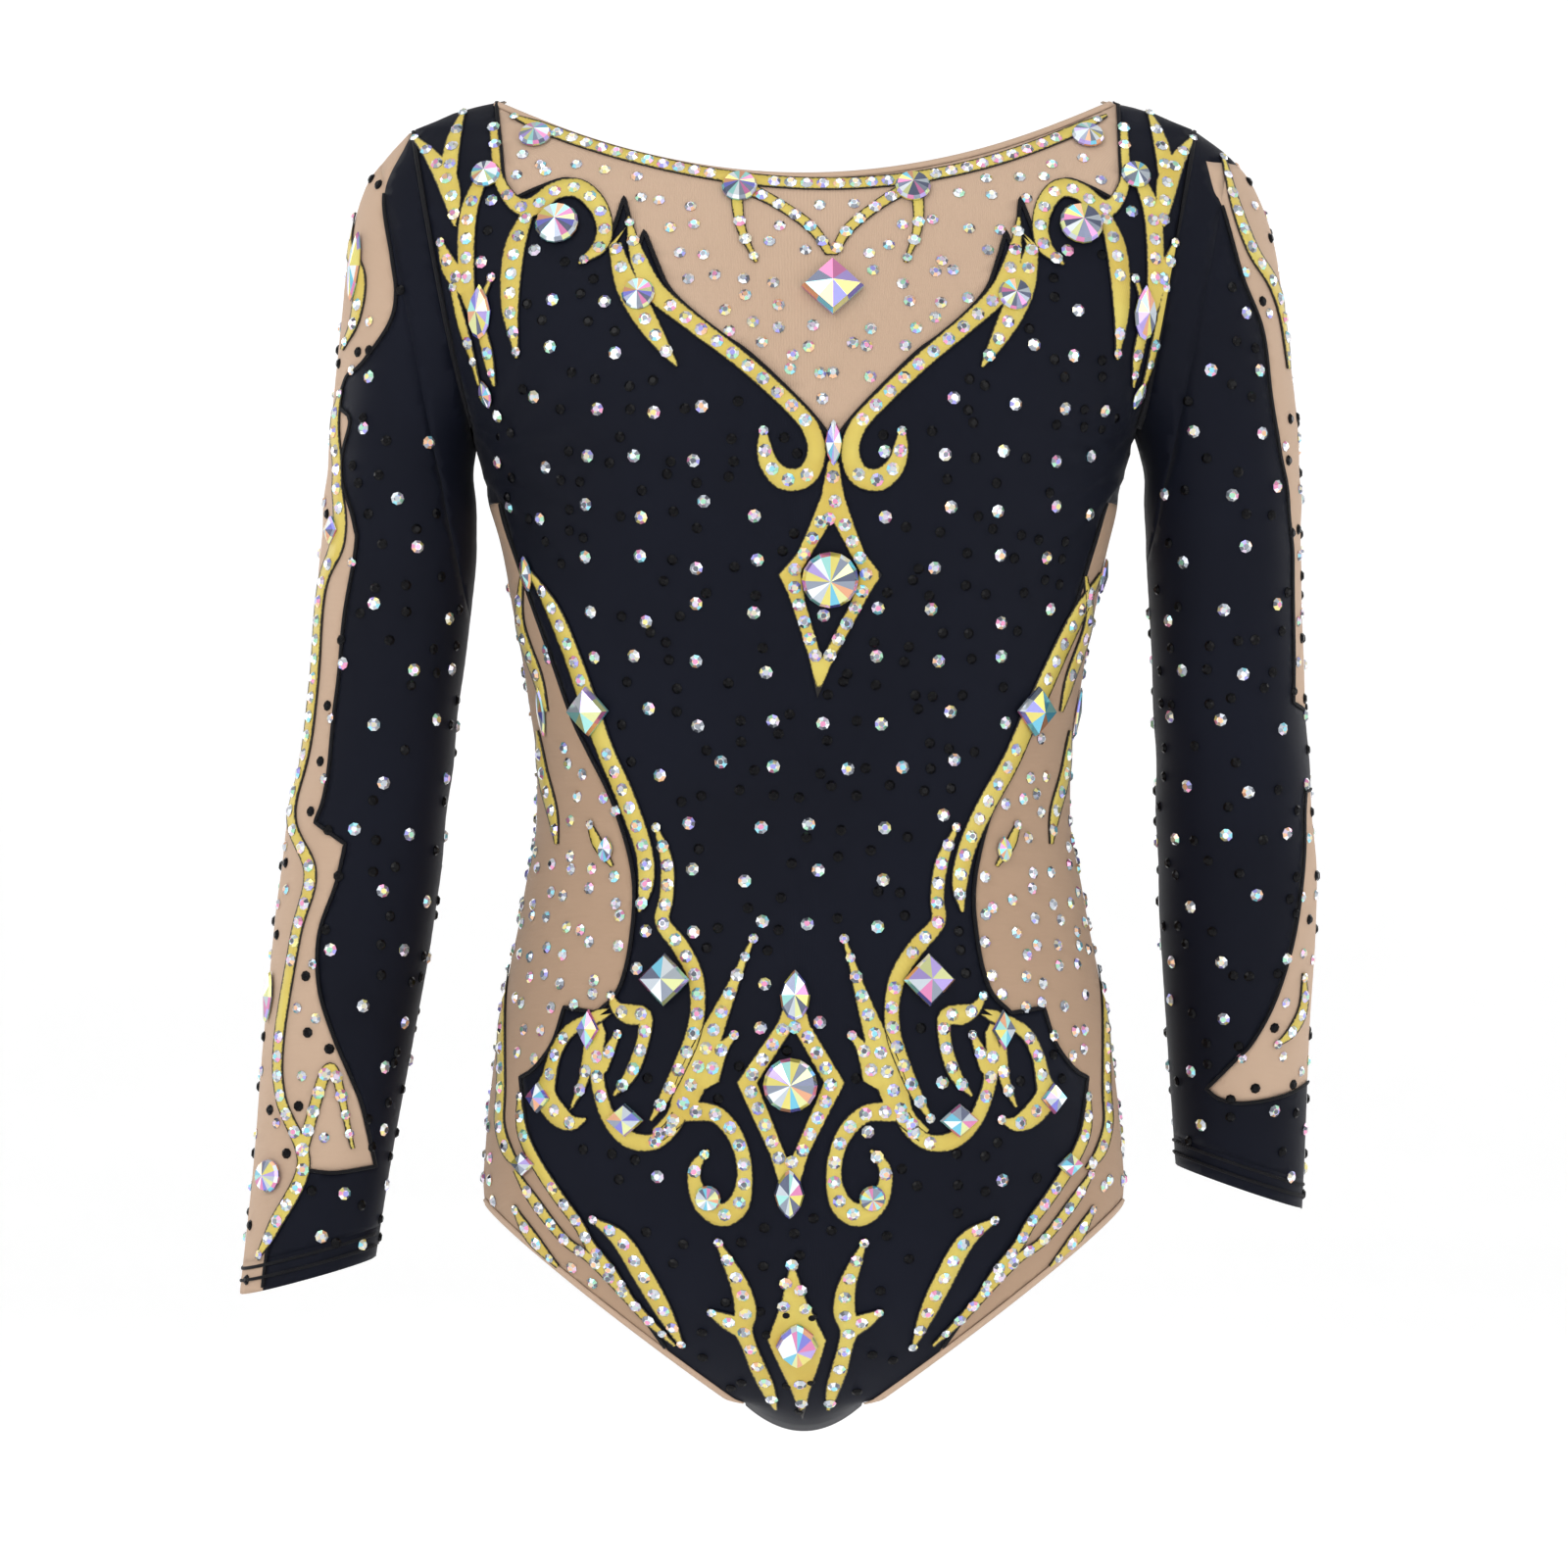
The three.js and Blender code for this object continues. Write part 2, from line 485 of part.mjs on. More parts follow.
const leftVine = [[[196, -125, 1], [199, -140, 4], [197, -165, 4], [197, -190, 6], [205, -212, 4],
  [209, -265, 4], [217, -305, 4], [208, -330, 5], [214, -357, 4], [221, -400, 4], [220, -425, 4],
  [210, -452, 5], [222, -478, 5], [230, -493, 1]], [[211, -448, 4], [199, -412, 4], [190, -446, 1]]];
addSolid('sleeve_left_vine', sleeveTrim.left.intersect(strokeBlock(leftVine, -1, asDrawn)), YELLOW);
const rightVines = {
  sleeve_right_vine_upper: [[[178, -24, 1], [183, -48, 4], [190, -67, 5], [199, -80, 5], [204, -94, 4],
    [206, -116, 1]]],
  sleeve_right_vine_lower: [[[215, -374, 1], [215, -389, 4], [210, -399, 4], [203, -405, 1]]],
};
for (const [name, strokes] of Object.entries(rightVines)) {
  const middle = -rightSleeve.forward(strokes[0][1][1]);
  addSolid(name, sleeveTrim.right.intersect(strokeBlock(strokes, 1, asDrawn, middle)), YELLOW);
}

// ---------------------------------------------------------------- large crystals
/** The angle at which a surface's front stands at x, found by halving. */
function frontAngle(surface, x, z) {
  let low = 0;
  let high = Math.PI;
  for (let i = 0; i < 40; i += 1) {
    const middle = (low + high) / 2;
    if (surface(middle, z).x > x) low = middle;
    else high = middle;
  }
  return (low + high) / 2;
}

/** Adds a faceted crystal with its flat back just off the trim; turn is about its own axis. */
function addCrystal(name, surface, [x, z], { width, height, facets = 12, turn = 0, bend = 60 }) {
  const rise = Math.min(width, height) * CROWN.share + CROWN.band;
  const geometry = new THREE.CylinderGeometry(CROWN.table, 0.5, rise, facets);
  geometry.rotateX(Math.PI / 2);
  geometry.rotateZ(Math.PI / facets + turn);
  geometry.scale(width, height, 1);
  const angle = frontAngle(surface, x, z);
  const normal = surfaceNormal(surface, angle, z);
  const lift = GAP + TRIM + GAP + (Math.max(width, height) / 2) ** 2 / (2 * bend) + rise / 2;
  const mesh = addPiece(name, geometry, CRYSTAL);
  const up = new THREE.Vector3(0, 0, 1).addScaledVector(normal, -normal.z).normalize();
  const basis = new THREE.Matrix4().makeBasis(up.clone().cross(normal), up, normal);
  mesh.quaternion.setFromRotationMatrix(basis);
  mesh.position.copy(surface(angle, z)).addScaledVector(normal, lift);
}

const SQUARE = { facets: 4, turn: Math.PI / 4 };
const pairedCrystals = {
  crystal_yoke_round: [109.5, -58.5, { width: 18.5, height: 18.5 }],
  crystal_neck_round: [36.3, -43, { width: 15, height: 15 }],
  crystal_bust_round: [78, -89.5, { width: 14, height: 14 }],
  crystal_waist_square: [93, -262, { width: 21, height: 21, ...SQUARE }],
  crystal_hip_square: [54.5, -374, { width: 22, height: 22, ...SQUARE }],
};
for (const [name, [x, z, form]] of Object.entries(pairedCrystals)) {
  for (const [side, word] of [[-1, 'left'], [1, 'right']]) {
    addCrystal(`${name}_${word}`, torsoPoint, placed([side * x, z]), form);
  }
}
const middleCrystals = {
  crystal_yoke_square: [0, -87, { width: 26, height: 26, ...SQUARE }],
  crystal_yoke_navette: [0, -152, { width: 6.5, height: 19, facets: 8, bend: 200 }],
  crystal_chest_round: [0, -208, { width: 23.5, height: 23.5 }],
  crystal_upper_pear: [0, -380, { width: 12.5, height: 21, facets: 10, bend: 200 }],
  crystal_belly_round: [0, -417, { width: 22.5, height: 22.5 }],
  crystal_lower_pear: [0, -462, { width: 12.5, height: 21, facets: 10, bend: 120 }],
  crystal_crotch_navette: [0, -527, { width: 18, height: 23, facets: 8, bend: 60 }],
};
for (const [name, [x, z, form]] of Object.entries(middleCrystals)) {
  addCrystal(name, torsoPoint, placed([x, z]), form);
}
const leftSurface = (angle, z) => sleevePoint(leftSleeve, angle, z);
addCrystal('crystal_sleeve_pear', leftSurface, [-190, -73], { width: 9, height: 30, facets: 10, bend: 200 });
addCrystal('crystal_sleeve_round', leftSurface, [-225, -458], { width: 13, height: 13, bend: 25 });

export default leotard;
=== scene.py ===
"""Visual model of a long-sleeved competition leotard: fabric panels, raised trim and crystals."""
from __future__ import annotations

import json
import logging
import math
from dataclasses import dataclass, field
from enum import Enum
from typing import Callable, Iterable, Sequence

import bmesh
import bpy
import numpy as np
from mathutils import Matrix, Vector, kdtree
from mathutils.geometry import delaunay_2d_cdt

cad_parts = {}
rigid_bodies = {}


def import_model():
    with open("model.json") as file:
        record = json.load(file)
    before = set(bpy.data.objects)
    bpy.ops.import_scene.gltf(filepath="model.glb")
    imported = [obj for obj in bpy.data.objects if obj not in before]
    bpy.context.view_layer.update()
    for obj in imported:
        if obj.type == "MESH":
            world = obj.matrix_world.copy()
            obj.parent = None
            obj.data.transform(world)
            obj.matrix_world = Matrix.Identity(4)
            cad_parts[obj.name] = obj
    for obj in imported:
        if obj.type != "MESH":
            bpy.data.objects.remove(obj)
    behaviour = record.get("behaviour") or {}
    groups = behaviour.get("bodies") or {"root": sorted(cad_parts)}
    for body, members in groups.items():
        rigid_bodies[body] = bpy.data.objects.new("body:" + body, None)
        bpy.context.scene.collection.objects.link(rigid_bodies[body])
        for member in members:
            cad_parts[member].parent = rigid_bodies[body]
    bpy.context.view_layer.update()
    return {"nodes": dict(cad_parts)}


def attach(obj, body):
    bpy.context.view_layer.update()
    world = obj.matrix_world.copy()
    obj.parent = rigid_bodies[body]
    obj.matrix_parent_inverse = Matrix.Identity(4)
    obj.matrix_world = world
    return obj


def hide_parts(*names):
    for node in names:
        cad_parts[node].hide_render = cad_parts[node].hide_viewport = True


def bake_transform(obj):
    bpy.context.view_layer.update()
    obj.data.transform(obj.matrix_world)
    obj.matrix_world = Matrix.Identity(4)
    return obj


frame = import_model()

LOG = logging.getLogger("leotard")
MM = 0.001

# Driving dimensions, in millimetres in the frame of the model.
ROUNDNESS = 2.3
NECK_HALF, NECK_DROP = 133.0, 36.5
SHOULDER = (167.0, -13.4)
ARMPIT = (141.0, -146.0)
CROTCH_Z = -570.0
LEG_TOP, LEG_LOW = (136.0, -470.0), (26.0, -557.0)
FABRIC = 0.5
ELASTIC = 6.0
HEM = 13.0
GUSSET_BAND = 16.0
SADDLE_TOP, SADDLE_RISE = -552.0, 12.0
ARMHOLE_SLOPE = (SHOULDER[0] - ARMPIT[0]) / (SHOULDER[1] - ARMPIT[1])
ARMHOLE_NORMAL = np.array([1.0, -ARMHOLE_SLOPE]) / math.hypot(1.0, ARMHOLE_SLOPE)

Points = np.ndarray
Station = Sequence[float]


class Side(Enum):
    """Which half of the garment a piece is on, as its viewer sees it."""

    LEFT = -1
    RIGHT = 1

    @property
    def word(self) -> str:
        """The side's name in plain lower case."""
        return self.name.lower()


# ------------------------------------------------------------------ body shape
@dataclass(frozen=True)
class Profile:
    """A smooth curve through (height, value) knots listed from the top down."""

    knots: tuple[tuple[float, float], ...]

    def __call__(self, z: Points | float) -> Points:
        """The value at each height.

        Args:
            z: One height or an array of heights.

        Returns:
            The curve's value at each of them.
        """
        keys, values = np.array(self.knots, float).T
        count = len(keys)
        above = np.maximum(np.arange(count) - 1, 0)
        below = np.minimum(np.arange(count) + 1, count - 1)
        slopes = (values[below] - values[above]) / (keys[below] - keys[above])
        z = np.clip(np.asarray(z, float), keys[-1], keys[0])
        i = np.clip(np.searchsorted(-keys, -z, side="right") - 1, 0, count - 2)
        span = keys[i + 1] - keys[i]
        t = (z - keys[i]) / span
        ease = t * t * (3 - 2 * t)
        rise = span * (slopes[i] * t * (1 - t) ** 2 - slopes[i + 1] * t * t * (1 - t))
        return values[i] * (1 - ease) + values[i + 1] * ease + rise


def armhole_x(z: Points | float) -> Points:
    """Half the distance between the armholes at height z.

    Args:
        z: Heights.

    Returns:
        The half distances.
    """
    return ARMPIT[0] + (np.asarray(z, float) - ARMPIT[1]) * ARMHOLE_SLOPE


def beyond_armhole(x: Points, z: Points) -> Points:
    """How far a point is outside the armhole's plane.

    Args:
        x: Distances from the middle plane, both sides alike.
        z: Heights.

    Returns:
        Signed distances, positive on the sleeve's side.
    """
    return (np.abs(x) - ARMPIT[0]) * ARMHOLE_NORMAL[0] + (z - ARMPIT[1]) * ARMHOLE_NORMAL[1]


class Surface:
    """A tube-like surface with level sections, in millimetres."""

    scale = 100.0
    seam = 0.0

    def raw(self, angle: Points, z: Points) -> Points:
        """Points of the smooth surface at each angle and height."""
        raise NotImplementedError

    def fold(self, angle: Points, z: Points) -> Points:
        """How far the cloth's soft folds stand off the smooth surface."""
        raise NotImplementedError

    def normal(self, angle: Points, z: Points) -> Points:
        """Outward unit normals, from short steps round the surface and down it.

        Args:
            angle: Angles round the surface.
            z: Heights.

        Returns:
            One unit vector for each point.
        """
        turn, drop = 0.02, 0.6
        around = self.raw(angle + turn, z) - self.raw(angle - turn, z)
        down = self.raw(angle, z - drop) - self.raw(angle, z + drop)
        out = np.cross(around, down)
        return out / np.maximum(np.linalg.norm(out, axis=1, keepdims=True), 1e-9)

    def at(self, angle: Points, z: Points, lift: Points | float = 0.0) -> Points:
        """Points of the cloth, lifted off it along the normal.

        Args:
            angle: Angles round the surface.
            z: Heights.
            lift: How far off the cloth.

        Returns:
            The points.
        """
        angle, z = np.asarray(angle, float), np.asarray(z, float)
        off = np.broadcast_to(np.asarray(lift, float), z.shape) + self.fold(angle, z)
        return self.raw(angle, z) + self.normal(angle, z) * off[:, None]

    def front_angle(self, x: Points, z: Points) -> Points:
        """The angle at which the front of the surface stands at x, by halving.

        Args:
            x: Distances across.
            z: Heights.

        Returns:
            Angles from 0 to pi.
        """
        x, z = np.asarray(x, float), np.asarray(z, float)
        low, high = np.zeros_like(x), np.full_like(x, math.pi)
        for _ in range(34):
            middle = (low + high) / 2
            right = self.raw(middle, z)[:, 0] > x
            low = np.where(right, middle, low)
            high = np.where(right, high, middle)
        return (low + high) / 2


@dataclass(frozen=True)
class Torso(Surface):
    """The trunk, with superellipse sections."""

    scale = 105.0
    seam = -math.pi / 2
    front: Profile = Profile(((0, 5), (-3, 12), (-8, 20), (-14, 27), (-25, 38), (-40, 50), (-60, 62),
    (-90, 76),
                     (-120, 84), (-146, 87), (-185, 85), (-220, 79), (-282, 72), (-335, 76), (-380, 82),
                     (-430, 84), (-473, 78), (-505, 66), (-530, 51), (-550, 34), (-562, 19), (-570, 0.4)))
    back: Profile = Profile(((0, 5), (-3, 12), (-8, 20), (-14, 27), (-25, 38), (-40, 50), (-60, 62),
    (-90, 76),
                    (-120, 84), (-146, 87), (-185, 84), (-235, 74), (-290, 68), (-335, 76), (-390, 93),
                    (-440, 101), (-480, 96), (-510, 81), (-535, 60), (-553, 38), (-563, 21), (-570, 0.4)))
    side: Profile = Profile(((0, 128), (-4, 146), (-9, 158), (-13.4, 167), (-145.9, 141), (-146, 141),
    (-185, 131),
                    (-217, 125), (-255, 118), (-290, 114), (-310, 114.5), (-335, 118.5), (-368, 125),
                    (-401, 131), (-446, 136), (-473, 136), (-510, 122), (-540, 88), (-556, 56), (-565, 38),
                    (-570, 31)))

    def half_width(self, z: Points) -> Points:
        """Half the width: above the armpit it meets the sleeve's own depth at the armhole.

        Args:
            z: Heights.

        Returns:
            Half widths.
        """
        sleeve = LEFT_ARM
        centre = (sleeve.outer(z) + sleeve.inner(z)) / 2
        half = (sleeve.outer(z) - sleeve.inner(z)) / 2
        reach = np.sqrt(np.maximum(1 - ((armhole_x(z) - centre) / half) ** 2, 0))
        share = np.clip(reach * sleeve.depth(z) / self.front(z), 0, 0.97)
        joined = armhole_x(z) / (1 - share ** ROUNDNESS) ** (1 / ROUNDNESS)
        return np.where((z >= SHOULDER[1]) | (z <= ARMPIT[1]), self.side(z), joined)

    def raw(self, angle: Points, z: Points) -> Points:
        """Points of the smooth trunk; the angle runs from +X over the front.

        Args:
            angle: Angles round the surface.
            z: Heights.

        Returns:
            The points.
        """
        power = 2 / ROUNDNESS
        cosine, sine = np.cos(angle), np.sin(angle)
        across = np.sign(cosine) * np.abs(cosine) ** power
        along = np.sign(sine) * np.abs(sine) ** power
        depth = np.where(along > 0, self.front(z), self.back(z))
        x = self.half_width(z) * across
        share = np.clip((SADDLE_TOP - z) / (SADDLE_TOP - CROTCH_Z), 0, 1)
        rise = SADDLE_RISE * (x / LEG_LOW[0]) ** 2 * share * share * (3 - 2 * share)
        return np.stack([x, -depth * along, z + rise], axis=1)

    def fold(self, angle: Points, z: Points) -> Points:
        """Drag folds that fan out from the armpits, and faint ones across the waist.

        Args:
            angle: Angles round the surface.
            z: Heights.

        Returns:
            Distances off the smooth surface.
        """
        x = self.raw(angle, z)[:, 0]
        off = np.zeros_like(x)
        for side in (-1, 1):
            dx, dz = side * x - ARMPIT[0], z - ARMPIT[1] + 12
            reach = np.hypot(dx, dz)
            fan = np.sin(15 * np.arctan2(dz, -dx) + 0.6 * side)
            off += 1.7 * fan * np.exp(-reach / 42) * (1 - np.exp(-(reach / 14) ** 2))
        waist = np.exp(-((z + 300) / 55) ** 2) * np.sin(z / 6.5 + x / 38)
        return off + 0.35 * waist


@dataclass(frozen=True)
class Arm(Surface):
    """A sleeve: ellipses between an inner and an outer line, one above the other."""

    side: Side
    outer: Profile
    inner: Profile
    depth: Profile
    forward: Profile
    cuff_inner: tuple[float, float]
    cuff_outer: tuple[float, float]
    bottom: float
    scale = 36.0

    @property
    def seam(self) -> float:
        """The angle of the underarm line, where the flat cut starts."""
        return 0.0 if self.side is Side.LEFT else -math.pi

    def raw(self, angle: Points, z: Points) -> Points:
        """Points of the smooth sleeve; the angle runs from +X over the front.

        Args:
            angle: Angles round the surface.
            z: Heights.

        Returns:
            The points.
        """
        centre = (self.outer(z) + self.inner(z)) / 2
        half = (self.outer(z) - self.inner(z)) / 2
        x = self.side.value * centre + half * np.cos(angle)
        return np.stack([x, -self.depth(z) * np.sin(angle) - self.forward(z), z + 0 * angle], axis=1)

    def fold(self, angle: Points, z: Points) -> Points:
        """Soft creases round the elbow and under the arm.

        Args:
            angle: Angles round the surface.
            z: Heights.

        Returns:
            Distances off the smooth surface.
        """
        elbow = np.exp(-((z + 292) / 48) ** 2) * np.sin(z / 7.5 + 1.7 * np.cos(angle))
        under = np.exp(-((z + 165) / 26) ** 2) * np.sin(z / 4.8 - 2.2 * np.sin(angle))
        return 0.45 * elbow + 0.45 * under * (1 - np.exp(-((z + 140) / 12) ** 2))

    def cuff_line(self, x: Points, lift: float = 0.0) -> Points:
        """Height of the cuff's edge at a distance across, raised by lift."""
        (x0, z0), (x1, z1) = self.cuff_inner, self.cuff_outer
        return z0 + (np.abs(x) - x0) * (z1 - z0) / (x1 - x0) + lift


LEFT_ARM = Arm(
    Side.LEFT,
    outer=Profile(((-14, 169), (-24, 178), (-36, 187), (-60, 194), (-95, 198), (-146, 203), (-220, 209),
                   (-275, 214), (-320, 222), (-400, 230), (-455, 234), (-515, 240))),
    inner=Profile(((-14, 163), (-20, 150), (-30, 125), (-60, 102), (-90, 106), (-120, 122), (-146, 139.5),
                   (-195, 140), (-265, 148), (-350, 157.5), (-400, 166), (-450, 175), (-515, 185))),
    depth=Profile(((-14, 3), (-20, 13), (-30, 23), (-60, 38), (-90, 42), (-120, 41), (-146, 38),
                   (-200, 36), (-300, 34.5), (-360, 33.5), (-410, 31), (-455, 28.5), (-515, 27))),
    forward=Profile(((-14, 0), (-146, 0), (-300, 6), (-515, 22))),
    cuff_inner=(180, -493), cuff_outer=(240, -509), bottom=-515)
RIGHT_ARM = Arm(
    Side.RIGHT,
    outer=Profile(((-14, 169), (-24, 182), (-36, 192), (-60, 201), (-95, 206), (-146, 212), (-220, 214),
                   (-275, 217), (-340, 222), (-400, 220), (-455, 219), (-490, 218))),
    inner=Profile(((-14, 163), (-20, 150), (-30, 125), (-60, 102), (-90, 106), (-120, 122), (-146, 142.5),
                   (-195, 147), (-265, 151), (-345, 154), (-400, 158), (-450, 162), (-490, 165))),
    depth=Profile(((-14, 3), (-20, 13), (-30, 23), (-60, 38), (-90, 42), (-120, 41), (-146, 38),
                   (-200, 36), (-300, 34.5), (-360, 33), (-410, 30), (-450, 28), (-490, 27))),
    forward=Profile(((-14, 0), (-146, 0), (-300, -16), (-490, -52))),
    cuff_inner=(160, -458), cuff_outer=(221, -479), bottom=-490)
TORSO = Torso()
BODIES = {"torso": TORSO, "sleeve_left": LEFT_ARM, "sleeve_right": RIGHT_ARM}
LEAN = Profile(((0, 4), (-60, 11), (-200, 11), (-262, 5), (-400, -5), (-470, -6), (-570, 0)))


def placed(points: Points) -> Points:
    """Print points moved from the print's own middle line to where it leans on the body.

    Args:
        points: Rows that start with x and z.

    Returns:
        The same rows with x moved.
    """
    out = np.array(points, float)
    share = 1 - np.minimum(np.abs(out[:, 0]) / SHOULDER[0], 1) ** 2
    out[:, 0] += LEAN(out[:, 1]) * share
    return out


def leg_z(x: Points) -> Points:
    """Height of the leg edge at a distance across."""
    slope = (LEG_LOW[1] - LEG_TOP[1]) / (LEG_TOP[0] - LEG_LOW[0])
    return LEG_TOP[1] + (LEG_TOP[0] - np.abs(np.asarray(x, float))) * slope


def neck_z(x: Points) -> Points:
    """Height of the neck edge at a distance across."""
    return -NECK_DROP * (1 - (np.asarray(x, float) / NECK_HALF) ** 2)


# ------------------------------------------------------------------ outlines of the design
YOKE_EDGE = [(0, -152), (10, -139), (33, -116), (45, -107), (57, -97), (66, -87), (71, -75), (75.5, -62),
             (79.5, -74), (80.5, -62), (83, -47), (88, -62), (91, -66), (92.5, -54), (97, -43.5),
             (105, -38.5),
             (116, -42), (127, -47.5), (130, -38), (131, -24), (133, -1)]
SIDE_EDGE = [(129, -174), (121, -196), (115, -214), (98, -262), (91, -278), (79, -302), (71, -332),
             (72, -358), (77, -378), (86, -388), (100, -386), (105, -401), (113, -412), (119, -416),
             (117, -431), (114, -448), (102, -464), (82, -493), (65, -519), (48, -545)]
LEFT_INLAY = [(166, -10), (170, -21), (178, -42), (174, -70), (172, -86), (175, -99), (187, -115),
              (194, -120), (197, -132), (192, -139), (196, -158), (190, -183), (189, -192), (194, -221),
              (197, -252), (202, -295), (206, -309), (193, -318), (197, -335), (204, -356), (204, -378),
              (198, -398), (191, -415), (186, -429), (181, -454), (197, -456), (208, -455), (218, -470),
              (225, -485), (230, -530)]
RIGHT_UPPER_INLAY = [(171, -28), (174, -42), (177, -48), (185, -78), (194, -101), (198, -132), (204, -164),
                     (207, -185), (208, -202), (209, -258), (221, -264)]
RIGHT_LOWER_INLAY = [(225, -292), (215, -296), (214, -322), (211, -353), (203, -383), (193, -403),
                     (184, -413), (174, -424), (179, -428), (189, -430), (207, -427), (224, -420)]

# Raised trim: strokes of (distance from the middle line, height, width).
PAIRED_TRIM: dict[str, list[list[Station]]] = {
    "shoulder_flame": [
        [[167, -16, 1], [159, -26, 5.5], [152.5, -37, 9], [150, -47, 7], [149, -58, 1]],
        [[146, -4.5, 1], [150, -20, 6], [151.5, -34, 7]],
        [[139, -38, 5], [143.5, -52, 7], [144.5, -70, 7], [143.5, -88, 6], [139, -103, 1]],
        [[155, -63, 1], [150.5, -76, 7], [145, -85, 6]],
        [[150, -82, 2], [145.5, -102, 3.6], [139, -125, 1]]],
    "yoke_scroll": [
        [[134, -12, 3], [133, -26, 3.5], [132, -38, 4], [126, -49, 6], [119, -51, 8], [110, -44, 7.5],
         [101, -43, 8], [94, -50, 7.5], [91, -60, 6.5], [93, -69, 6], [101, -76, 1]],
        [[121, -54, 5], [126, -70, 8.5], [127.5, -93, 7], [125, -115, 1]],
        [[134, -79, 1], [139, -95, 3], [136, -112, 4], [134, -126, 1]]],
    "yoke_swoosh": [
        [[28.5, -145, 1], [28.2, -153, 5.5], [26, -161, 7.5], [19.5, -167, 9], [11, -165.5, 8.5],
         [7, -157, 7.5],
         [8.5, -148, 7], [15, -139, 6.5], [36, -119, 6.5], [58, -101, 7], [71, -89, 8], [77, -77, 7],
         [80, -66, 4], [81.5, -56, 1]],
        [[87, -68, 5], [83, -84, 9], [77, -97, 9.5], [69.5, -110, 6], [63, -120, 1]]],
    "side_vine": [
        [[120, -203, 1], [110, -220, 5.5], [101, -240, 6.5], [92, -262, 7], [85, -280, 7], [75, -300, 7.5],
         [67, -320, 7], [65, -335, 6], [67, -346, 1]]],
    "hip_vine": [
        [[63, -309, 1], [57, -325, 5], [56, -340, 5.5], [57, -350, 6], [49, -360, 7], [42, -372, 6.5],
         [40, -385, 6], [41.5, -397, 6], [46, -409, 5.5], [51.5, -421, 4.5], [58, -432, 1]],
        [[78, -379, 1], [74, -386, 5], [68, -388.5, 8.5], [62, -389, 6], [62.5, -400, 5], [67, -413, 5],
         [74, -422, 1]],
        [[81, -396, 5], [82, -406, 5.5], [80.5, -419, 5.5], [75.5, -432, 6], [67, -440, 7], [57, -441, 6.5],
         [50, -436, 6], [46, -430, 6]],
        [[72.5, -395, 1], [76, -402, 4], [79, -411, 4]],
        [[81.5, -389, 5], [94, -395.5, 5], [100, -405, 5], [102.5, -415, 6], [104, -423, 9], [98, -431, 9],
         [92, -434, 6], [86, -432, 1]],
        [[86, -402, 3], [87, -415, 4], [92, -427, 1]]],
    "hip_swoosh": [
        [[18, -355, 1], [22, -365, 2.5], [27, -379, 5], [32, -392, 8], [38, -408, 11.5], [42.5, -420, 11.5],
         [47, -430, 8], [55, -438, 6]],
        [[23, -395, 1], [29.5, -403, 5.5], [34, -414, 9]],
        [[41, -428, 8], [31, -429, 7], [23.5, -436, 6.5], [19.3, -446, 6], [18.5, -457, 6.5], [21.5, -467, 9],
         [28.5, -471, 9.5], [36, -466, 8], [39.5, -457, 5.5], [38.5, -450, 4.5], [33.5, -444, 1]]],
    "crotch_flame": [
        [[31, -481, 1], [26, -492, 5], [22, -502, 7.5], [20.5, -512, 9], [22, -520, 7.5], [20, -528, 6],
         [17, -538, 6.5], [13.5, -548, 5.5], [11, -558, 1]],
        [[36.5, -512, 1], [30, -516, 6], [24, -519, 8]]],
    "leg_strip": [[[85, -473, 1], [72, -482, 7], [62, -499, 8], [54.5, -514, 6.5], [48, -529, 1]]],
}
# Small trim on the mesh sides, which the solids leave out.
SIDE_SPRIGS: list[list[Station]] = [
    [[113, -270, 1], [111, -285, 4], [106, -303, 4.5], [104, -318, 1]],
    [[90, -308, 1], [86, -318, 4], [80, -327, 1]],
    [[126, -370, 1], [128, -385, 3], [127.5, -420, 3.5], [128, -436, 4], [124, -448, 4.5], [118, -454, 1]],
    [[121, -455, 1], [113, -467, 4], [100, -483, 3.5], [90, -490, 3.5], [80, -500, 3.5], [72, -509, 3.5],
     [64.5, -517.5, 3], [54, -528, 1]],
    [[119, -422, 1], [118, -437, 4], [113, -449, 4.5], [103, -464, 4.5], [94, -476, 4], [89, -485, 4],
     [80, -496, 3.5], [72, -507, 1]],
    [[122, -470, 1], [114, -483, 5], [103, -495, 1]],
    [[118, -205, 1], [120, -225, 4], [112, -248, 4], [108, -262, 1]],
]
NECK_LEGS: list[list[Station]] = [
    [[36, -42, 5], [22, -50, 4], [8, -61, 4], [1, -72, 3]],
    [[38, -40, 5], [37, -60, 3.5], [31, -76, 1]]]
MIDDLE_TRIM = {
    "centre_drop": ([(0, -157), (-2.5, -160), (-5, -174), (-9.5, -186), (-14, -197), (-21.5, -206),
                     (-17, -214),
                     (-10, -230), (-4.5, -243), (0, -257)], [(0, -184), (-12, -205), (-9, -218), (0, -240)]),
    "diamond_frame": ([(0, -371), (-7, -392), (-22.5, -416), (-8, -446), (0, -473)],
                      [(0, -394), (-13.5, -416), (0, -449)]),
    "crotch_drop": ([(0, -489), (-2.5, -497), (-5.5, -508), (-12.5, -525), (-8, -538), (-4.5, -547),
                     (0, -562)],
                    None),
}
DROP_STONES = [(0, -166), (1, -176), (0, -492), (-3, -500), (3, -503), (-4.5, -510), (4.5, -511),
               (0, -545), (0, -554)]
LEFT_VINE: list[list[Station]] = [
    [[196, -125, 1], [199, -140, 4], [197, -165, 4], [197, -190, 6], [205, -212, 4], [209, -265, 4],
     [217, -305, 4], [208, -330, 5], [214, -357, 4], [221, -400, 4], [220, -425, 4], [210, -452, 5],
     [222, -478, 5], [230, -493, 1]],
    [[211, -448, 4], [199, -412, 4], [190, -446, 1]]]
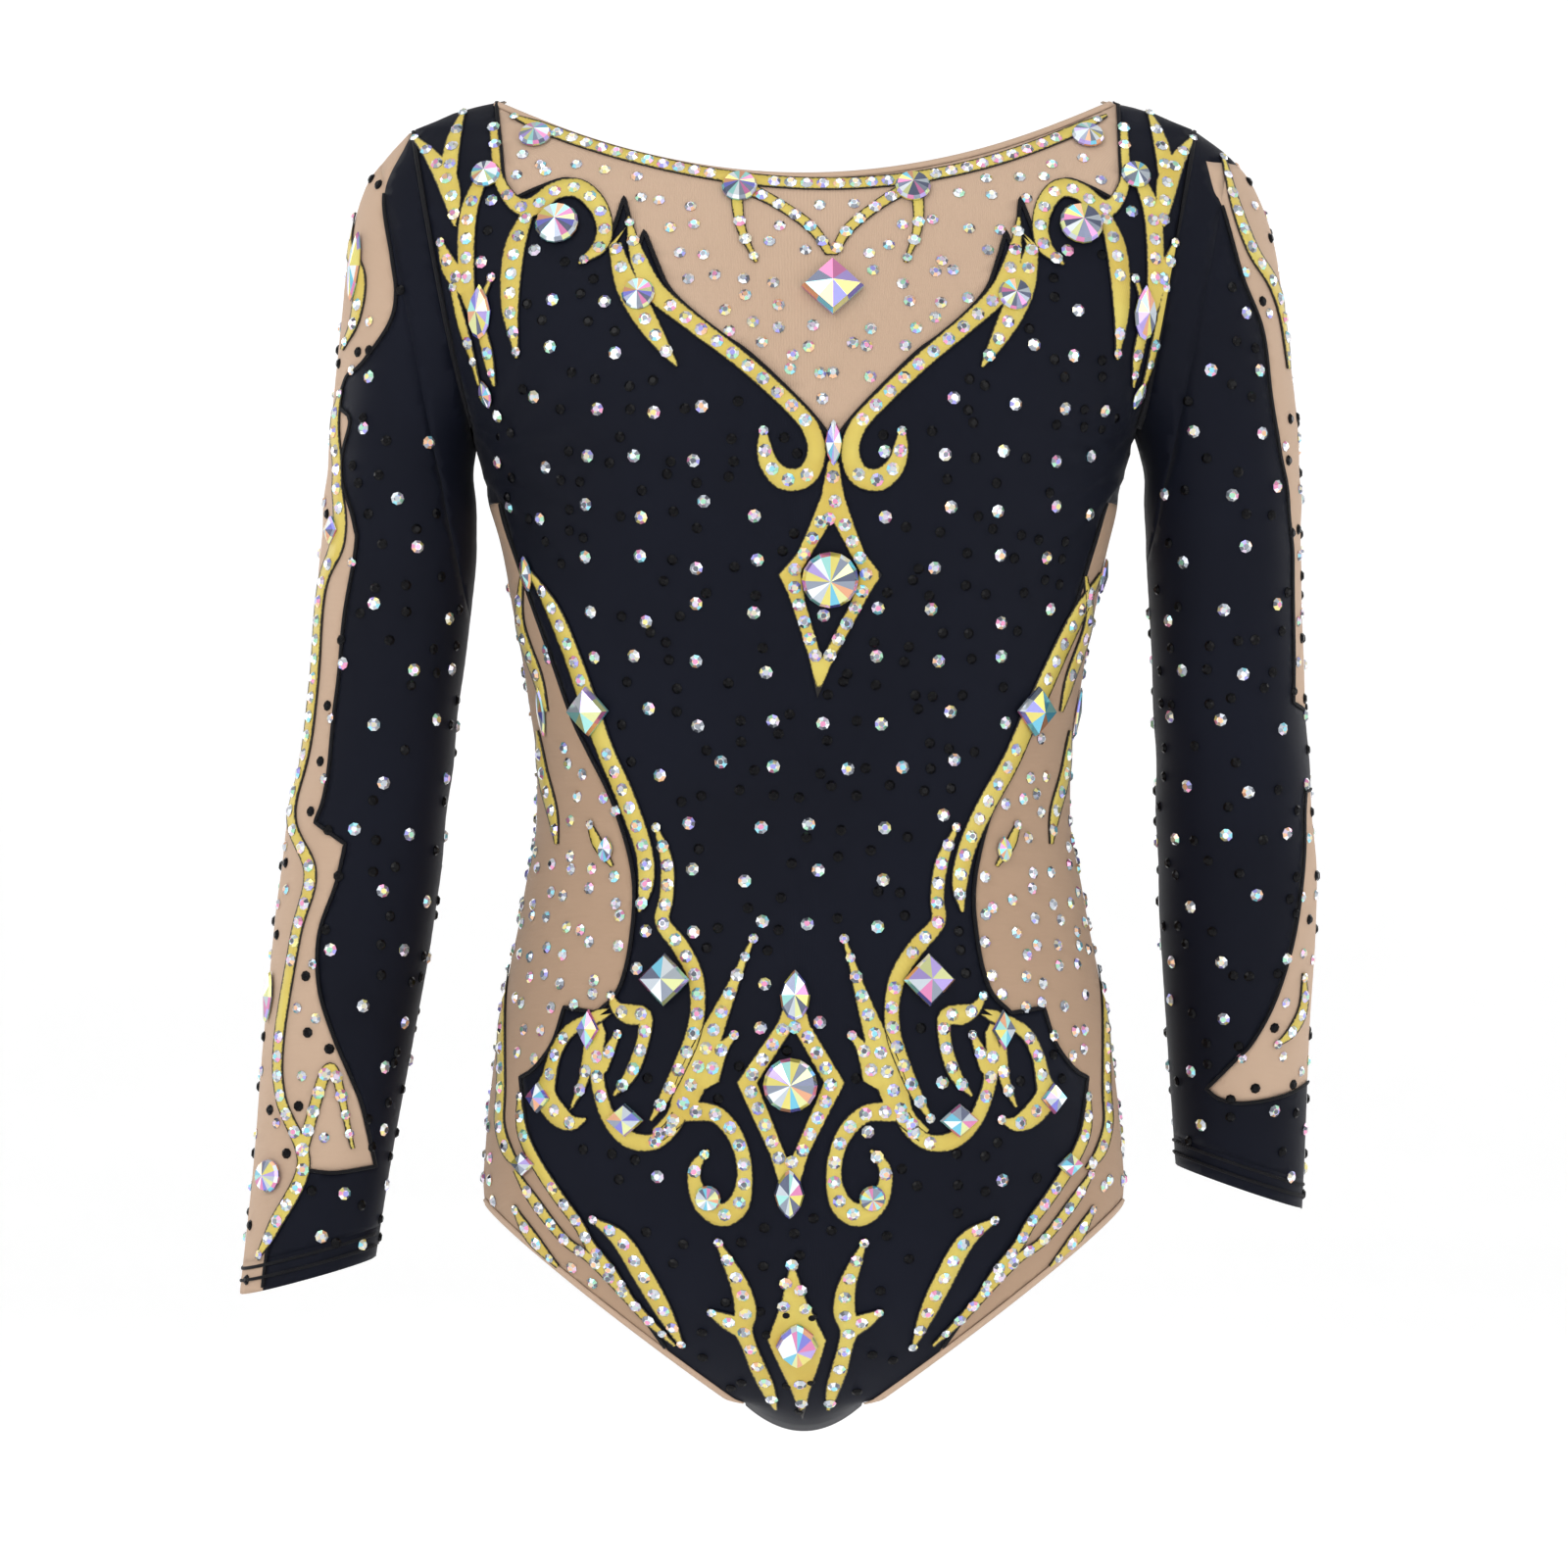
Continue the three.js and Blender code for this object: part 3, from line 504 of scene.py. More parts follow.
LEFT_SHOULDER_LEAF: list[list[Station]] = [
    [[192, -48, 1], [194, -62, 4], [188, -78, 5], [190, -96, 4], [196, -108, 1]]]
RIGHT_VINES: dict[str, list[list[Station]]] = {
    "sleeve_right_vine_upper": [
        [[178, -24, 1], [183, -48, 4], [190, -67, 5], [199, -80, 5], [204, -94, 4], [206, -116, 1]]],
    "sleeve_right_vine_lower": [[[215, -374, 1], [215, -389, 4], [210, -399, 4], [203, -405, 1]]],
}


# ------------------------------------------------------------------ geometry helpers
def densify(points: Sequence[Sequence[float]], step: float) -> Points:
    """A polyline with extra points, none further apart than a step.

    Args:
        points: The polyline's corners.
        step: The longest distance allowed.

    Returns:
        The denser polyline.
    """
    rows = [np.array(points[0], float)]
    for start, end in zip(points[:-1], points[1:]):
        start, end = np.array(start, float), np.array(end, float)
        count = max(int(math.ceil(np.linalg.norm(end - start) / step)), 1)
        rows += [start + (end - start) * (i + 1) / count for i in range(count)]
    return np.array(rows)


def smooth_path(stations: Sequence[Station], step: float) -> Points:
    """A centripetal-like smooth curve through stations, sampled evenly.

    Args:
        stations: Rows of coordinates.
        step: The spacing of the samples, by the first two coordinates.

    Returns:
        The samples.
    """
    rows = np.array(stations, float)
    before = np.vstack([2 * rows[0] - rows[1], rows, 2 * rows[-1] - rows[-2]])
    out = []
    for i in range(len(rows) - 1):
        p0, p1, p2, p3 = before[i:i + 4]
        count = max(int(np.linalg.norm((p2 - p1)[:2]) / step), 1)
        for t in np.arange(count) / count:
            out.append(0.5 * (2 * p1 + (p2 - p0) * t + (2 * p0 - 5 * p1 + 4 * p2 - p3) * t * t
                              + (3 * p1 - p0 - 3 * p2 + p3) * t ** 3))
    out.append(rows[-1])
    return np.array(out)


def rounded(corners: Sequence[Sequence[float]], sharp: float = 0.9) -> Points:
    """A line with its blunt corners smoothed and its sharp ones kept.

    Args:
        corners: The line's corners.
        sharp: The turn, in radians, from which a corner is kept.

    Returns:
        The line.
    """
    rows = np.array(corners, float)
    along = np.diff(rows, axis=0)
    along /= np.linalg.norm(along, axis=1, keepdims=True)
    turn = np.arccos(np.clip((along[1:] * along[:-1]).sum(axis=1), -1, 1))
    stops = [0, *(np.flatnonzero(turn > sharp) + 1), len(rows) - 1]
    runs = [rows[start:end + 1] for start, end in zip(stops[:-1], stops[1:])]
    smooth = [smooth_path(run, 2.0) if len(run) > 2 else run for run in runs]
    return np.vstack([rows[:1], *[run[1:] for run in smooth]])


def inside(outline: Points, x: Points, z: Points) -> Points:
    """Which points lie inside a closed outline.

    Args:
        outline: Its corners.
        x: Distances across.
        z: Heights.

    Returns:
        One true or false for each point.
    """
    found = np.zeros(x.shape, bool)
    for (x0, z0), (x1, z1) in zip(outline, np.roll(outline, -1, axis=0)):
        crosses = (z0 > z) != (z1 > z)
        where = x0 + (z - z0) * (x1 - x0) / (z1 - z0 if z1 != z0 else 1e-9)
        found ^= crosses & (x < where)
    return found


def select_only(obj: bpy.types.Object) -> None:
    """Deselects everything, then selects one object and makes it active.

    Args:
        obj: The object.
    """
    for other in bpy.context.view_layer.objects:
        other.select_set(False)
    obj.select_set(True)
    bpy.context.view_layer.objects.active = obj


def make_mesh(name: str, points: Points, faces: Iterable[Sequence[int]],
              smooth: bool = True) -> bpy.types.Object:
    """A mesh object from points in millimetres.

    Args:
        name: The piece's name.
        points: The vertices.
        faces: Vertex numbers of each face.
        smooth: Whether it is shaded smooth.

    Returns:
        The new object, linked to the scene.
    """
    mesh = bpy.data.meshes.new(name)
    mesh.from_pydata((points * MM).tolist(), [], [list(face) for face in faces])
    mesh.polygons.foreach_set("use_smooth", [smooth] * len(mesh.polygons))
    obj = bpy.data.objects.new(name, mesh)
    bpy.context.scene.collection.objects.link(obj)
    return obj


def set_uv(obj: bpy.types.Object, rows: Points) -> None:
    """Gives a mesh a UV map, in metres of cloth, from one row for each vertex.

    Args:
        obj: The mesh object.
        rows: Across and up, in millimetres of cloth.
    """
    mesh = obj.data
    layer = mesh.uv_layers.new(name="cloth")
    order = np.zeros(len(mesh.loops), int)
    mesh.loops.foreach_get("vertex_index", order)
    layer.data.foreach_set("uv", (rows[order] * MM).astype(np.float32).ravel())


def set_value(obj: bpy.types.Object, name: str, values: Points) -> None:
    """Stores one number for each vertex under a name."""
    attribute = obj.data.attributes.new(name, "FLOAT", "POINT")
    attribute.data.foreach_set("value", np.asarray(values, np.float32))


def apply_solidify(obj: bpy.types.Object, thickness: float, offset: float = -1.0) -> None:
    """Gives a sheet its thickness in millimetres and applies the modifier.

    Args:
        obj: The sheet.
        thickness: Its thickness.
        offset: -1 to grow inwards, 1 outwards.
    """
    modifier = obj.modifiers.new("thickness", "SOLIDIFY")
    modifier.thickness = thickness * MM
    modifier.offset = offset
    select_only(obj)
    bpy.ops.object.modifier_apply(modifier=modifier.name)


def weld(obj: bpy.types.Object) -> None:
    """Joins vertices that lie on each other, as along a tube's closing line.

    Args:
        obj: The mesh object.
    """
    work = bmesh.new()
    work.from_mesh(obj.data)
    bmesh.ops.remove_doubles(work, verts=work.verts, dist=0.02 * MM)
    work.to_mesh(obj.data)
    work.free()


def cloth_area(obj: bpy.types.Object) -> float:
    """The area of a mesh's faces, in square metres."""
    return sum(polygon.area for polygon in obj.data.polygons)


YOKE_LINE = rounded(YOKE_EDGE)
SIDE_LINE = rounded(SIDE_EDGE)
INLAYS = {
    Side.LEFT: {"mesh": rounded(LEFT_INLAY)},
    Side.RIGHT: {"mesh_upper": rounded(RIGHT_UPPER_INLAY), "mesh_lower": rounded(RIGHT_LOWER_INLAY)},
}


# ------------------------------------------------------------------ cutting cloth
@dataclass
class Cutter:
    """Cuts a surface's flat pattern along lines and makes a sheet of each labelled region."""

    surface: Surface
    top: float
    bottom: float
    spacing: float
    lines: list[Points] = field(default_factory=list)

    def add_front_line(self, corners: Sequence[Sequence[float]], side: int = 1) -> None:
        """Adds a line seen from the front and its twin on the back.

        Args:
            corners: Points (x, z) of the line.
            side: 1, or -1 for the mirror image.
        """
        dense = densify([(side * x, z) for x, z in corners], self.spacing * 0.7)
        dense = dense[(dense[:, 1] <= self.top) & (dense[:, 1] >= self.bottom)]
        if len(dense) < 2:
            return
        angle = self.surface.front_angle(dense[:, 0], dense[:, 1])
        start = self.surface.seam
        for turned in (angle, -angle):
            wrapped = (turned - start) % (2 * math.pi) + start
            self.lines.append(np.stack([wrapped, dense[:, 1]], axis=1))

    def add_upright(self, angle: float) -> None:
        """Adds a line straight down the surface at one angle."""
        z = np.arange(self.top, self.bottom, -self.spacing * 0.7)
        self.lines.append(np.stack([np.full_like(z, angle), z], axis=1))

    def _pattern(self) -> tuple[Points, list[tuple[int, int]]]:
        """All pattern points with the edges that the cut has to keep.

        Returns:
            Pattern points, and pairs of their numbers.
        """
        start, end = self.surface.seam, self.surface.seam + 2 * math.pi
        z_ends = np.append(np.arange(self.top, self.bottom, -self.spacing * 0.7), self.bottom)
        across = np.arange(start, end, self.spacing / self.surface.scale * 0.8)
        across = np.append(across, end)
        border = [np.stack([np.full_like(z_ends, a), z_ends], axis=1) for a in (start, end)]
        border += [np.stack([across, np.full_like(across, z)], axis=1) for z in (self.top, self.bottom)]
        points: list[Points] = []
        edges: list[tuple[int, int]] = []
        count = 0
        for line in [*border, *self.lines]:
            jumps = np.abs(np.diff(line[:, 0])) > math.pi
            points.append(line)
            edges += [(count + i, count + i + 1) for i in range(len(line) - 1) if not jumps[i]]
            count += len(line)
        kept = np.vstack(points)
        tree = kdtree.KDTree(len(kept))
        for i, (a, z) in enumerate(kept):
            tree.insert((a * self.surface.scale, z, 0), i)
        tree.balance()
        inner = []
        rows = np.arange(self.top - self.spacing / 2, self.bottom, -self.spacing * 0.87)
        for number, z in enumerate(rows):
            shift = self.spacing / 2 * (number % 2)
            for u in np.arange(start * self.surface.scale + shift, end * self.surface.scale, self.spacing):
                if tree.find((u, z, 0))[2] > self.spacing * 0.55:
                    inner.append((u / self.surface.scale, z))
        return np.vstack([kept, np.array(inner)]), edges

    def cut(self, label: Callable[[Points, Points], Points]) -> dict[str, bpy.types.Object]:
        """Cuts the pattern and makes one sheet for each label.

        Args:
            label: Names the region of each (angle, height), or "" where there is no cloth.

        Returns:
            The sheets by name, one layer thick.
        """
        pattern, edges = self._pattern()
        flat = pattern * np.array([self.surface.scale, 1.0])
        made = delaunay_2d_cdt([Vector(row) for row in flat], edges, [], 0, 0.01)
        points = np.array([tuple(v) for v in made[0]])
        faces = np.array([face for face in made[2] if len(face) == 3])
        angle, z = points[:, 0] / self.surface.scale, points[:, 1]
        names = label(angle[faces].mean(axis=1), z[faces].mean(axis=1))
        place = self.surface.at(angle, z)
        sheets = {}
        for name in sorted(set(names) - {""}):
            mine = faces[names == name][:, ::-1]
            used, inverse = np.unique(mine, return_inverse=True)
            sheet = make_mesh(name, place[used], inverse.reshape(-1, 3))
            set_uv(sheet, points[used])
            weld(sheet)
            sheets[name] = sheet
        return sheets


def torso_label(angle: Points, z: Points) -> Points:
    """Names the panel of the torso at each angle and height, "" outside the garment.

    Args:
        angle: Angles round the surface.
        z: Heights.

    Returns:
        The panels' names.
    """
    x = TORSO.raw(angle, z)[:, 0]
    front = np.sin(angle) > 0
    names = np.where(front, "front_panel_fabric", "back_panel_fabric").astype(object)
    yoke = placed(np.array([*YOKE_LINE, (135, 40), (-135, 40), *(YOKE_LINE[:0:-1] * [-1, 1])]))
    in_yoke = inside(yoke, x, z)
    names[in_yoke & front] = "front_yoke_fabric"
    names[in_yoke & ~front] = "back_yoke_fabric"
    for side in Side:
        outline = np.array([(150, -172), *SIDE_LINE, (48, -560), (150, -560)], float)
        names[inside(outline * [side.value, 1], x, z)] = f"side_mesh_{side.word}_fabric"
    bare = (z > neck_z(x)) | ((z < leg_z(x)) & (np.abs(x) > LEG_LOW[0] - 1))
    bare |= (z > ARMPIT[1]) & (np.abs(x) > armhole_x(z))
    names[bare] = ""
    return names


def arm_label(arm: Arm) -> Callable[[Points, Points], Points]:
    """A function that names the panel of a sleeve at each angle and height.

    Args:
        arm: The sleeve's surface.

    Returns:
        The naming function.
    """
    word = arm.side.word

    def label(angle: Points, z: Points) -> Points:
        """Names the panel at each angle and height, "" outside the garment.

        Args:
            angle: Angles round the surface.
            z: Heights.

        Returns:
            The panels' names.
        """
        x = arm.raw(angle, z)[:, 0]
        near = beyond_armhole(x, z) < GUSSET_BAND
        names = np.full(z.shape, f"sleeve_{word}_fabric", object)
        names[near] = f"armhole_{word}_fabric"
        for name, edge in INLAYS[arm.side].items():
            outline = np.array([*edge, (300, edge[-1][1]), (300, edge[0][1])], float)
            mesh = inside(outline * [arm.side.value, 1], x, z)
            names[mesh] = f"sleeve_{word}_{name}_fabric"
            names[mesh & near] = f"armhole_{word}_mesh_fabric"
        low = z < arm.cuff_line(x, HEM)
        bare = np.array(["mesh" in name for name in names])
        names[low] = f"sleeve_{word}_cuff_fabric"
        names[low & bare] = f"sleeve_{word}_cuff_mesh_fabric"
        names[(z < arm.cuff_line(x)) | (z > ARMPIT[1]) & (np.abs(x) < armhole_x(z))] = ""
        return names

    return label


# ------------------------------------------------------------------ materials
class Shader:
    """A material whose nodes are placed by short calls."""

    def __init__(self, name: str) -> None:
        """Starts a material with a Principled shader.

        Args:
            name: The material's name.
        """
        self.material = bpy.data.materials.new(name)
        self.material.use_nodes = True
        self.tree = self.material.node_tree
        self.surface = self.tree.nodes["Principled BSDF"]

    def node(self, kind: str, values: dict[str, object] | None = None, **settings: object) -> bpy.types.Node:
        """Adds a node.

        Args:
            kind: The node's type.
            values: Input sockets' values, or sockets to link from.
            settings: The node's own settings.

        Returns:
            The node.
        """
        made = self.tree.nodes.new(kind)
        for key, value in settings.items():
            setattr(made, key, value)
        for key, value in (values or {}).items():
            if isinstance(value, bpy.types.NodeSocket):
                self.tree.links.new(value, made.inputs[key])
            else:
                made.inputs[key].default_value = value
        return made

    def set(self, **values: object) -> None:
        """Sets or links inputs of the Principled shader; an underscore stands for a space."""
        for key, value in values.items():
            socket = self.surface.inputs[key.replace("_", " ")]
            if isinstance(value, bpy.types.NodeSocket):
                self.tree.links.new(value, socket)
            else:
                socket.default_value = value


def new_group(name: str, inputs: dict[str, tuple[str, object]], outputs: dict[str, str]) -> tuple:
    """An empty shader node group.

    Args:
        name: The group's name.
        inputs: Socket type and default of each input by name.
        outputs: Socket type of each output by name.

    Returns:
        The group, its input node and its output node.
    """
    group = bpy.data.node_groups.new(name, "ShaderNodeTree")
    for key, (kind, value) in inputs.items():
        socket = group.interface.new_socket(key, in_out="INPUT", socket_type=kind)
        if value is not None:
            socket.default_value = value
    for key, kind in outputs.items():
        group.interface.new_socket(key, in_out="OUTPUT", socket_type=kind)
    return group, group.nodes.new("NodeGroupInput"), group.nodes.new("NodeGroupOutput")


def weave_group() -> bpy.types.NodeTree:
    """A group that gives the height of a fine knit, in ribs two ways.

    Returns:
        The group, with Vector and Pitch inputs and a Height output.
    """
    group, source, sink = new_group(
        "fine_knit", {"Vector": ("NodeSocketVector", None), "Pitch": ("NodeSocketFloat", 1500.0)},
        {"Height": "NodeSocketFloat"})
    ribs = []
    for direction in ("X", "Y"):
        wave = group.nodes.new("ShaderNodeTexWave")
        wave.bands_direction = direction
        wave.inputs["Distortion"].default_value = 0.6
        group.links.new(source.outputs["Vector"], wave.inputs["Vector"])
        group.links.new(source.outputs["Pitch"], wave.inputs["Scale"])
        ribs.append(wave.outputs["Fac"])
    product = group.nodes.new("ShaderNodeMath")
    product.operation = "MULTIPLY"
    group.links.new(ribs[0], product.inputs[0])
    group.links.new(ribs[1], product.inputs[1])
    group.links.new(product.outputs[0], sink.inputs["Height"])
    return group


def tone_group() -> bpy.types.NodeTree:
    """A group that shades a colour lighter and darker in soft patches.

    Returns:
        The group, with Vector, Dark, Light and Size inputs and a Color output.
    """
    group, source, sink = new_group(
        "soft_tone", {"Vector": ("NodeSocketVector", None), "Dark": ("NodeSocketColor", None),
                      "Light": ("NodeSocketColor", None), "Size": ("NodeSocketFloat", 12.0)},
        {"Color": "NodeSocketColor"})
    noise = group.nodes.new("ShaderNodeTexNoise")
    noise.inputs["Detail"].default_value = 4.0
    mix = group.nodes.new("ShaderNodeMix")
    mix.data_type = "RGBA"
    group.links.new(source.outputs["Vector"], noise.inputs["Vector"])
    group.links.new(source.outputs["Size"], noise.inputs["Scale"])
    group.links.new(noise.outputs["Fac"], mix.inputs[0])
    group.links.new(source.outputs["Dark"], mix.inputs[6])
    group.links.new(source.outputs["Light"], mix.inputs[7])
    group.links.new(mix.outputs[2], sink.inputs["Color"])
    return group


@dataclass(frozen=True)
class Cloth:
    """A knitted finish: two tones in soft patches under a fine knit."""

    name: str
    dark: tuple[float, float, float]
    light: tuple[float, float, float]
    roughness: float
    sheen: float
    pitch: float = 900.0
    relief: float = 0.25
    patch: float = 12.0
    shine: float = 0.2

    def make(self, knit: bpy.types.NodeTree, tone: bpy.types.NodeTree) -> bpy.types.Material:
        """Builds the material.

        Args:
            knit: The fine knit group.
            tone: The soft tone group.

        Returns:
            The material.
        """
        shader = Shader(self.name)
        place = shader.node("ShaderNodeTexCoord")
        colour = shader.node("ShaderNodeGroup", node_tree=tone)
        shader.tree.links.new(place.outputs["Object"], colour.inputs["Vector"])
        colour.inputs["Dark"].default_value = (*self.dark, 1)
        colour.inputs["Light"].default_value = (*self.light, 1)
        colour.inputs["Size"].default_value = self.patch
        rib = shader.node("ShaderNodeGroup", node_tree=knit)
        shader.tree.links.new(place.outputs["UV"], rib.inputs["Vector"])
        rib.inputs["Pitch"].default_value = self.pitch
        bump = shader.node("ShaderNodeBump", {"Strength": self.relief, "Distance": 0.0004,
                                              "Height": rib.outputs["Height"]})
        shader.set(Base_Color=colour.outputs["Color"], Roughness=self.roughness, Sheen_Weight=self.sheen,
                   Sheen_Roughness=0.4, Specular_IOR_Level=self.shine, Normal=bump.outputs["Normal"])
        return shader.material


@dataclass(frozen=True)
class FlameFoil:
    """The trim's finish: lemon with amber patches, oversewn with dark thread along its edges."""

    name: str = "yellow_trim"
    lemon: tuple[float, float, float] = (0.68, 0.60, 0.15)
    amber: tuple[float, float, float] = (0.50, 0.32, 0.04)
    thread: tuple[float, float, float] = (0.012, 0.010, 0.008)
    patch: float = 34.0

    def make(self, knit: bpy.types.NodeTree, tone: bpy.types.NodeTree) -> bpy.types.Material:
        """Builds the material.

        Args:
            knit: The fine knit group.
            tone: The soft tone group.

        Returns:
            The material.
        """
        shader = Shader(self.name)
        place = shader.node("ShaderNodeTexCoord")
        edge = shader.node("ShaderNodeAttribute", attribute_name="edge")
        patch = shader.node("ShaderNodeGroup", node_tree=tone)
        shader.tree.links.new(place.outputs["Object"], patch.inputs["Vector"])
        patch.inputs["Dark"].default_value = (*self.amber, 1)
        patch.inputs["Light"].default_value = (*self.lemon, 1)
        patch.inputs["Size"].default_value = self.patch
        stitches = shader.node("ShaderNodeTexNoise", {"Scale": 900.0, "Detail": 1.0})
        shader.tree.links.new(place.outputs["Object"], stitches.inputs["Vector"])
        ragged = shader.node("ShaderNodeMath", {0: edge.outputs["Fac"], 1: stitches.outputs["Fac"]},
                             operation="ADD")
        fade = shader.node("ShaderNodeMapRange", {"Value": ragged.outputs[0], "From Min": 0.75,
                                                  "From Max": 1.25})
        mix = shader.node("ShaderNodeMix", data_type="RGBA")
        shader.tree.links.new(fade.outputs["Result"], mix.inputs[0])
        mix.inputs[6].default_value = (*self.thread, 1)
        shader.tree.links.new(patch.outputs["Color"], mix.inputs[7])
        rib = shader.node("ShaderNodeGroup", node_tree=knit)
        shader.tree.links.new(place.outputs["Object"], rib.inputs["Vector"])
        rib.inputs["Pitch"].default_value = 700.0
        bump = shader.node("ShaderNodeBump", {"Strength": 0.3, "Distance": 0.0003,
                                              "Height": rib.outputs["Height"]})
        shader.set(Base_Color=mix.outputs[2], Roughness=0.45, Specular_IOR_Level=0.3,
                   Normal=bump.outputs["Normal"])
        return shader.material


@dataclass(frozen=True)
class CutGlass:
    """Faceted glass: each facet has its own colour, stored on the mesh; the white facets are painted glints,
    the dark ones are painted reflections and the coloured ones are the stones' coating.
    """

    name: str
    roughness: float
    metallic: float
    dark: bool = False

    def make(self) -> bpy.types.Material:
        """Builds the material.

        Returns:
            The material.
        """
        shader = Shader(self.name)
        if self.dark:
            place = shader.node("ShaderNodeTexCoord")
            noise = shader.node("ShaderNodeTexNoise", {"Vector": place.outputs["Object"],
                                                       "Scale": 400.0})
            ramp = shader.node("ShaderNodeMapRange", {"Value": noise.outputs["Fac"], "To Min": 0.1,
                                                      "To Max": 0.3})
            shader.set(Base_Color=(0.002, 0.002, 0.003, 1), Roughness=ramp.outputs["Result"],
                       Specular_IOR_Level=0.12)
            return shader.material
        # Per-facet colours: painted glints and painted reflections mixed with the coating's colours.
        glint_and_tint = shader.node("ShaderNodeAttribute", attribute_name="facet")
        shader.set(Base_Color=glint_and_tint.outputs["Color"], Roughness=self.roughness, Metallic=self.metallic,
                   Coat_Weight=1.0, Coat_Roughness=0.02, IOR=1.58)
        return shader.material


class Finishes:
    """Every material of the garment, made once."""

    def __init__(self) -> None:
        """Builds the shared groups and the materials."""
        knit, tone = weave_group(), tone_group()
        self.black = Cloth("black_stretch_fabric", (0.0030, 0.0036, 0.0075), (0.0055, 0.0070, 0.0150),
                           0.5, 0.04, shine=0.08).make(knit, tone)
        self.nude = Cloth("nude_mesh", (0.47, 0.325, 0.228), (0.56, 0.405, 0.295), 0.75, 0.1,
                          pitch=620.0, relief=0.5, patch=9.0).make(knit, tone)
        # A darker copy of the nude mesh for the side panels: painted shade, where the sides turn away from
        # the light.
        self.nude_side = Cloth("nude_mesh_double", (0.38, 0.25, 0.165), (0.46, 0.315, 0.215), 0.75, 0.1,
                               pitch=620.0, relief=0.5, patch=9.0).make(knit, tone)
        self.elastic = Cloth("elastic", (0.40, 0.30, 0.22), (0.52, 0.40, 0.30), 0.8, 0.2,
                             pitch=450.0, relief=0.6).make(knit, tone)
        self.lining = Cloth("lining", (0.50, 0.37, 0.28), (0.58, 0.44, 0.34), 0.8, 0.2).make(knit, tone)
        self.thread = Cloth("black_thread", (0.005, 0.005, 0.006), (0.012, 0.012, 0.015), 0.7, 0.05,
                            pitch=380.0, relief=0.9, shine=0.1).make(knit, tone)
        self.yellow = FlameFoil().make(knit, tone)
        self.crystal = CutGlass("iridescent_crystal", 0.08, 0.6).make()
        self.jet = CutGlass("jet_crystal", 0.08, 0.0, dark=True).make()


# ------------------------------------------------------------------ trim
@dataclass
class Ribbon:
    """A raised strip that follows a surface along a path seen from the front."""

    surface: Surface
    lift: float = 0.25
    crown: float = 0.35
    thickness: float = 0.6
    step: float = 1.8
    columns: int = 5

    def rows(self, path: Points, back: bool = False, shift: float = 0.0) -> tuple[Points, Points, Points]:
        """The strip's vertices.

        Args:
            path: Rows of x, z and width.
            back: Whether it lies on the back of the surface.
            shift: Extra lift, which keeps crossing strips apart.

        Returns:
            Vertices, cloth coordinates and distances from the edge.
        """
        along = np.gradient(path[:, :2], axis=0)
        along /= np.maximum(np.linalg.norm(along, axis=1, keepdims=True), 1e-9)
        normal = np.stack([-along[:, 1], along[:, 0]], axis=1)
        half = np.maximum(path[:, 2], 0.5) / 2
        share = np.linspace(-1, 1, self.columns)
        flat = path[:, None, :2] + normal[:, None, :] * (half[:, None] * share[None, :])[..., None]
        x, z = flat[..., 0].ravel(), flat[..., 1].ravel()
        angle = self.surface.front_angle(x, z)
        height = self.lift + shift + self.crown * (1 - np.tile(share, len(path)) ** 2)
        points = self.surface.at(-angle if back else angle, z, height)
        length = np.concatenate([[0], np.cumsum(np.linalg.norm(np.diff(path[:, :2], axis=0), axis=1))])
        cloth = np.stack([np.repeat(length, self.columns), (half[:, None] * share).ravel()], axis=1)
        edge = (half[:, None] * (1 - np.abs(share))).ravel()
        return points, cloth, edge

    def faces(self, count: int, start: int, flip: bool) -> list[tuple[int, ...]]:
        """The strip's quads, numbered from start.

        Args:
            count: Rows of points.
            start: The first point's number.
            flip: Whether to turn the faces over.

        Returns:
            The faces.
        """
        made = []
        for row in range(count - 1):
            for column in range(self.columns - 1):
                corner = start + row * self.columns + column
                quad = (corner, corner + 1, corner + self.columns + 1, corner + self.columns)
                made.append(quad[::-1] if flip else quad)
        return made

    def make(self, name: str, paths: Sequence[tuple[Points, bool]]) -> bpy.types.Object:
        """Makes one piece of one or more strips.

        Args:
            name: The piece's name.
            paths: Each strip's path, and whether it lies on the back.

        Returns:
            The piece, with its thickness.
        """
        points, cloth, edge, faces = [], [], [], []
        count = 0
        for number, (path, back) in enumerate(paths):
            p, c, e = self.rows(path, back, 0.12 * (number % 3))
            faces += self.faces(len(path), count, flip=back)
            count += len(p)
            points.append(p)
            cloth.append(c)
            edge.append(e)
        obj = make_mesh(name, np.vstack(points), faces)
        set_uv(obj, np.vstack(cloth))
        set_value(obj, "edge", np.concatenate(edge))
        apply_solidify(obj, self.thickness)
        return obj


def reach_inside(paths: Sequence[Points], x: Points, z: Points) -> Points:
    """How far inside the nearest stroke each point is, negative outside them all.

    Args:
        paths: Rows of x, z and width of each stroke.
        x: Distances across.
        z: Heights.

    Returns:
        The distances.
    """
    best = np.full(x.shape, -1e3)
    for path in paths:
        start, along = path[:-1, :2], np.diff(path[:, :2], axis=0)
        offset = np.stack([x, z], axis=1)[:, None, :] - start
        length = np.maximum((along ** 2).sum(axis=1), 1e-9)
        t = np.clip((offset * along).sum(axis=2) / length, 0, 1)
        gap = np.linalg.norm(offset - t[..., None] * along, axis=2)
        half = (path[:-1, 2] * (1 - t) + path[1:, 2] * t) / 2
        best = np.maximum(best, (half - gap).max(axis=1))
    return best


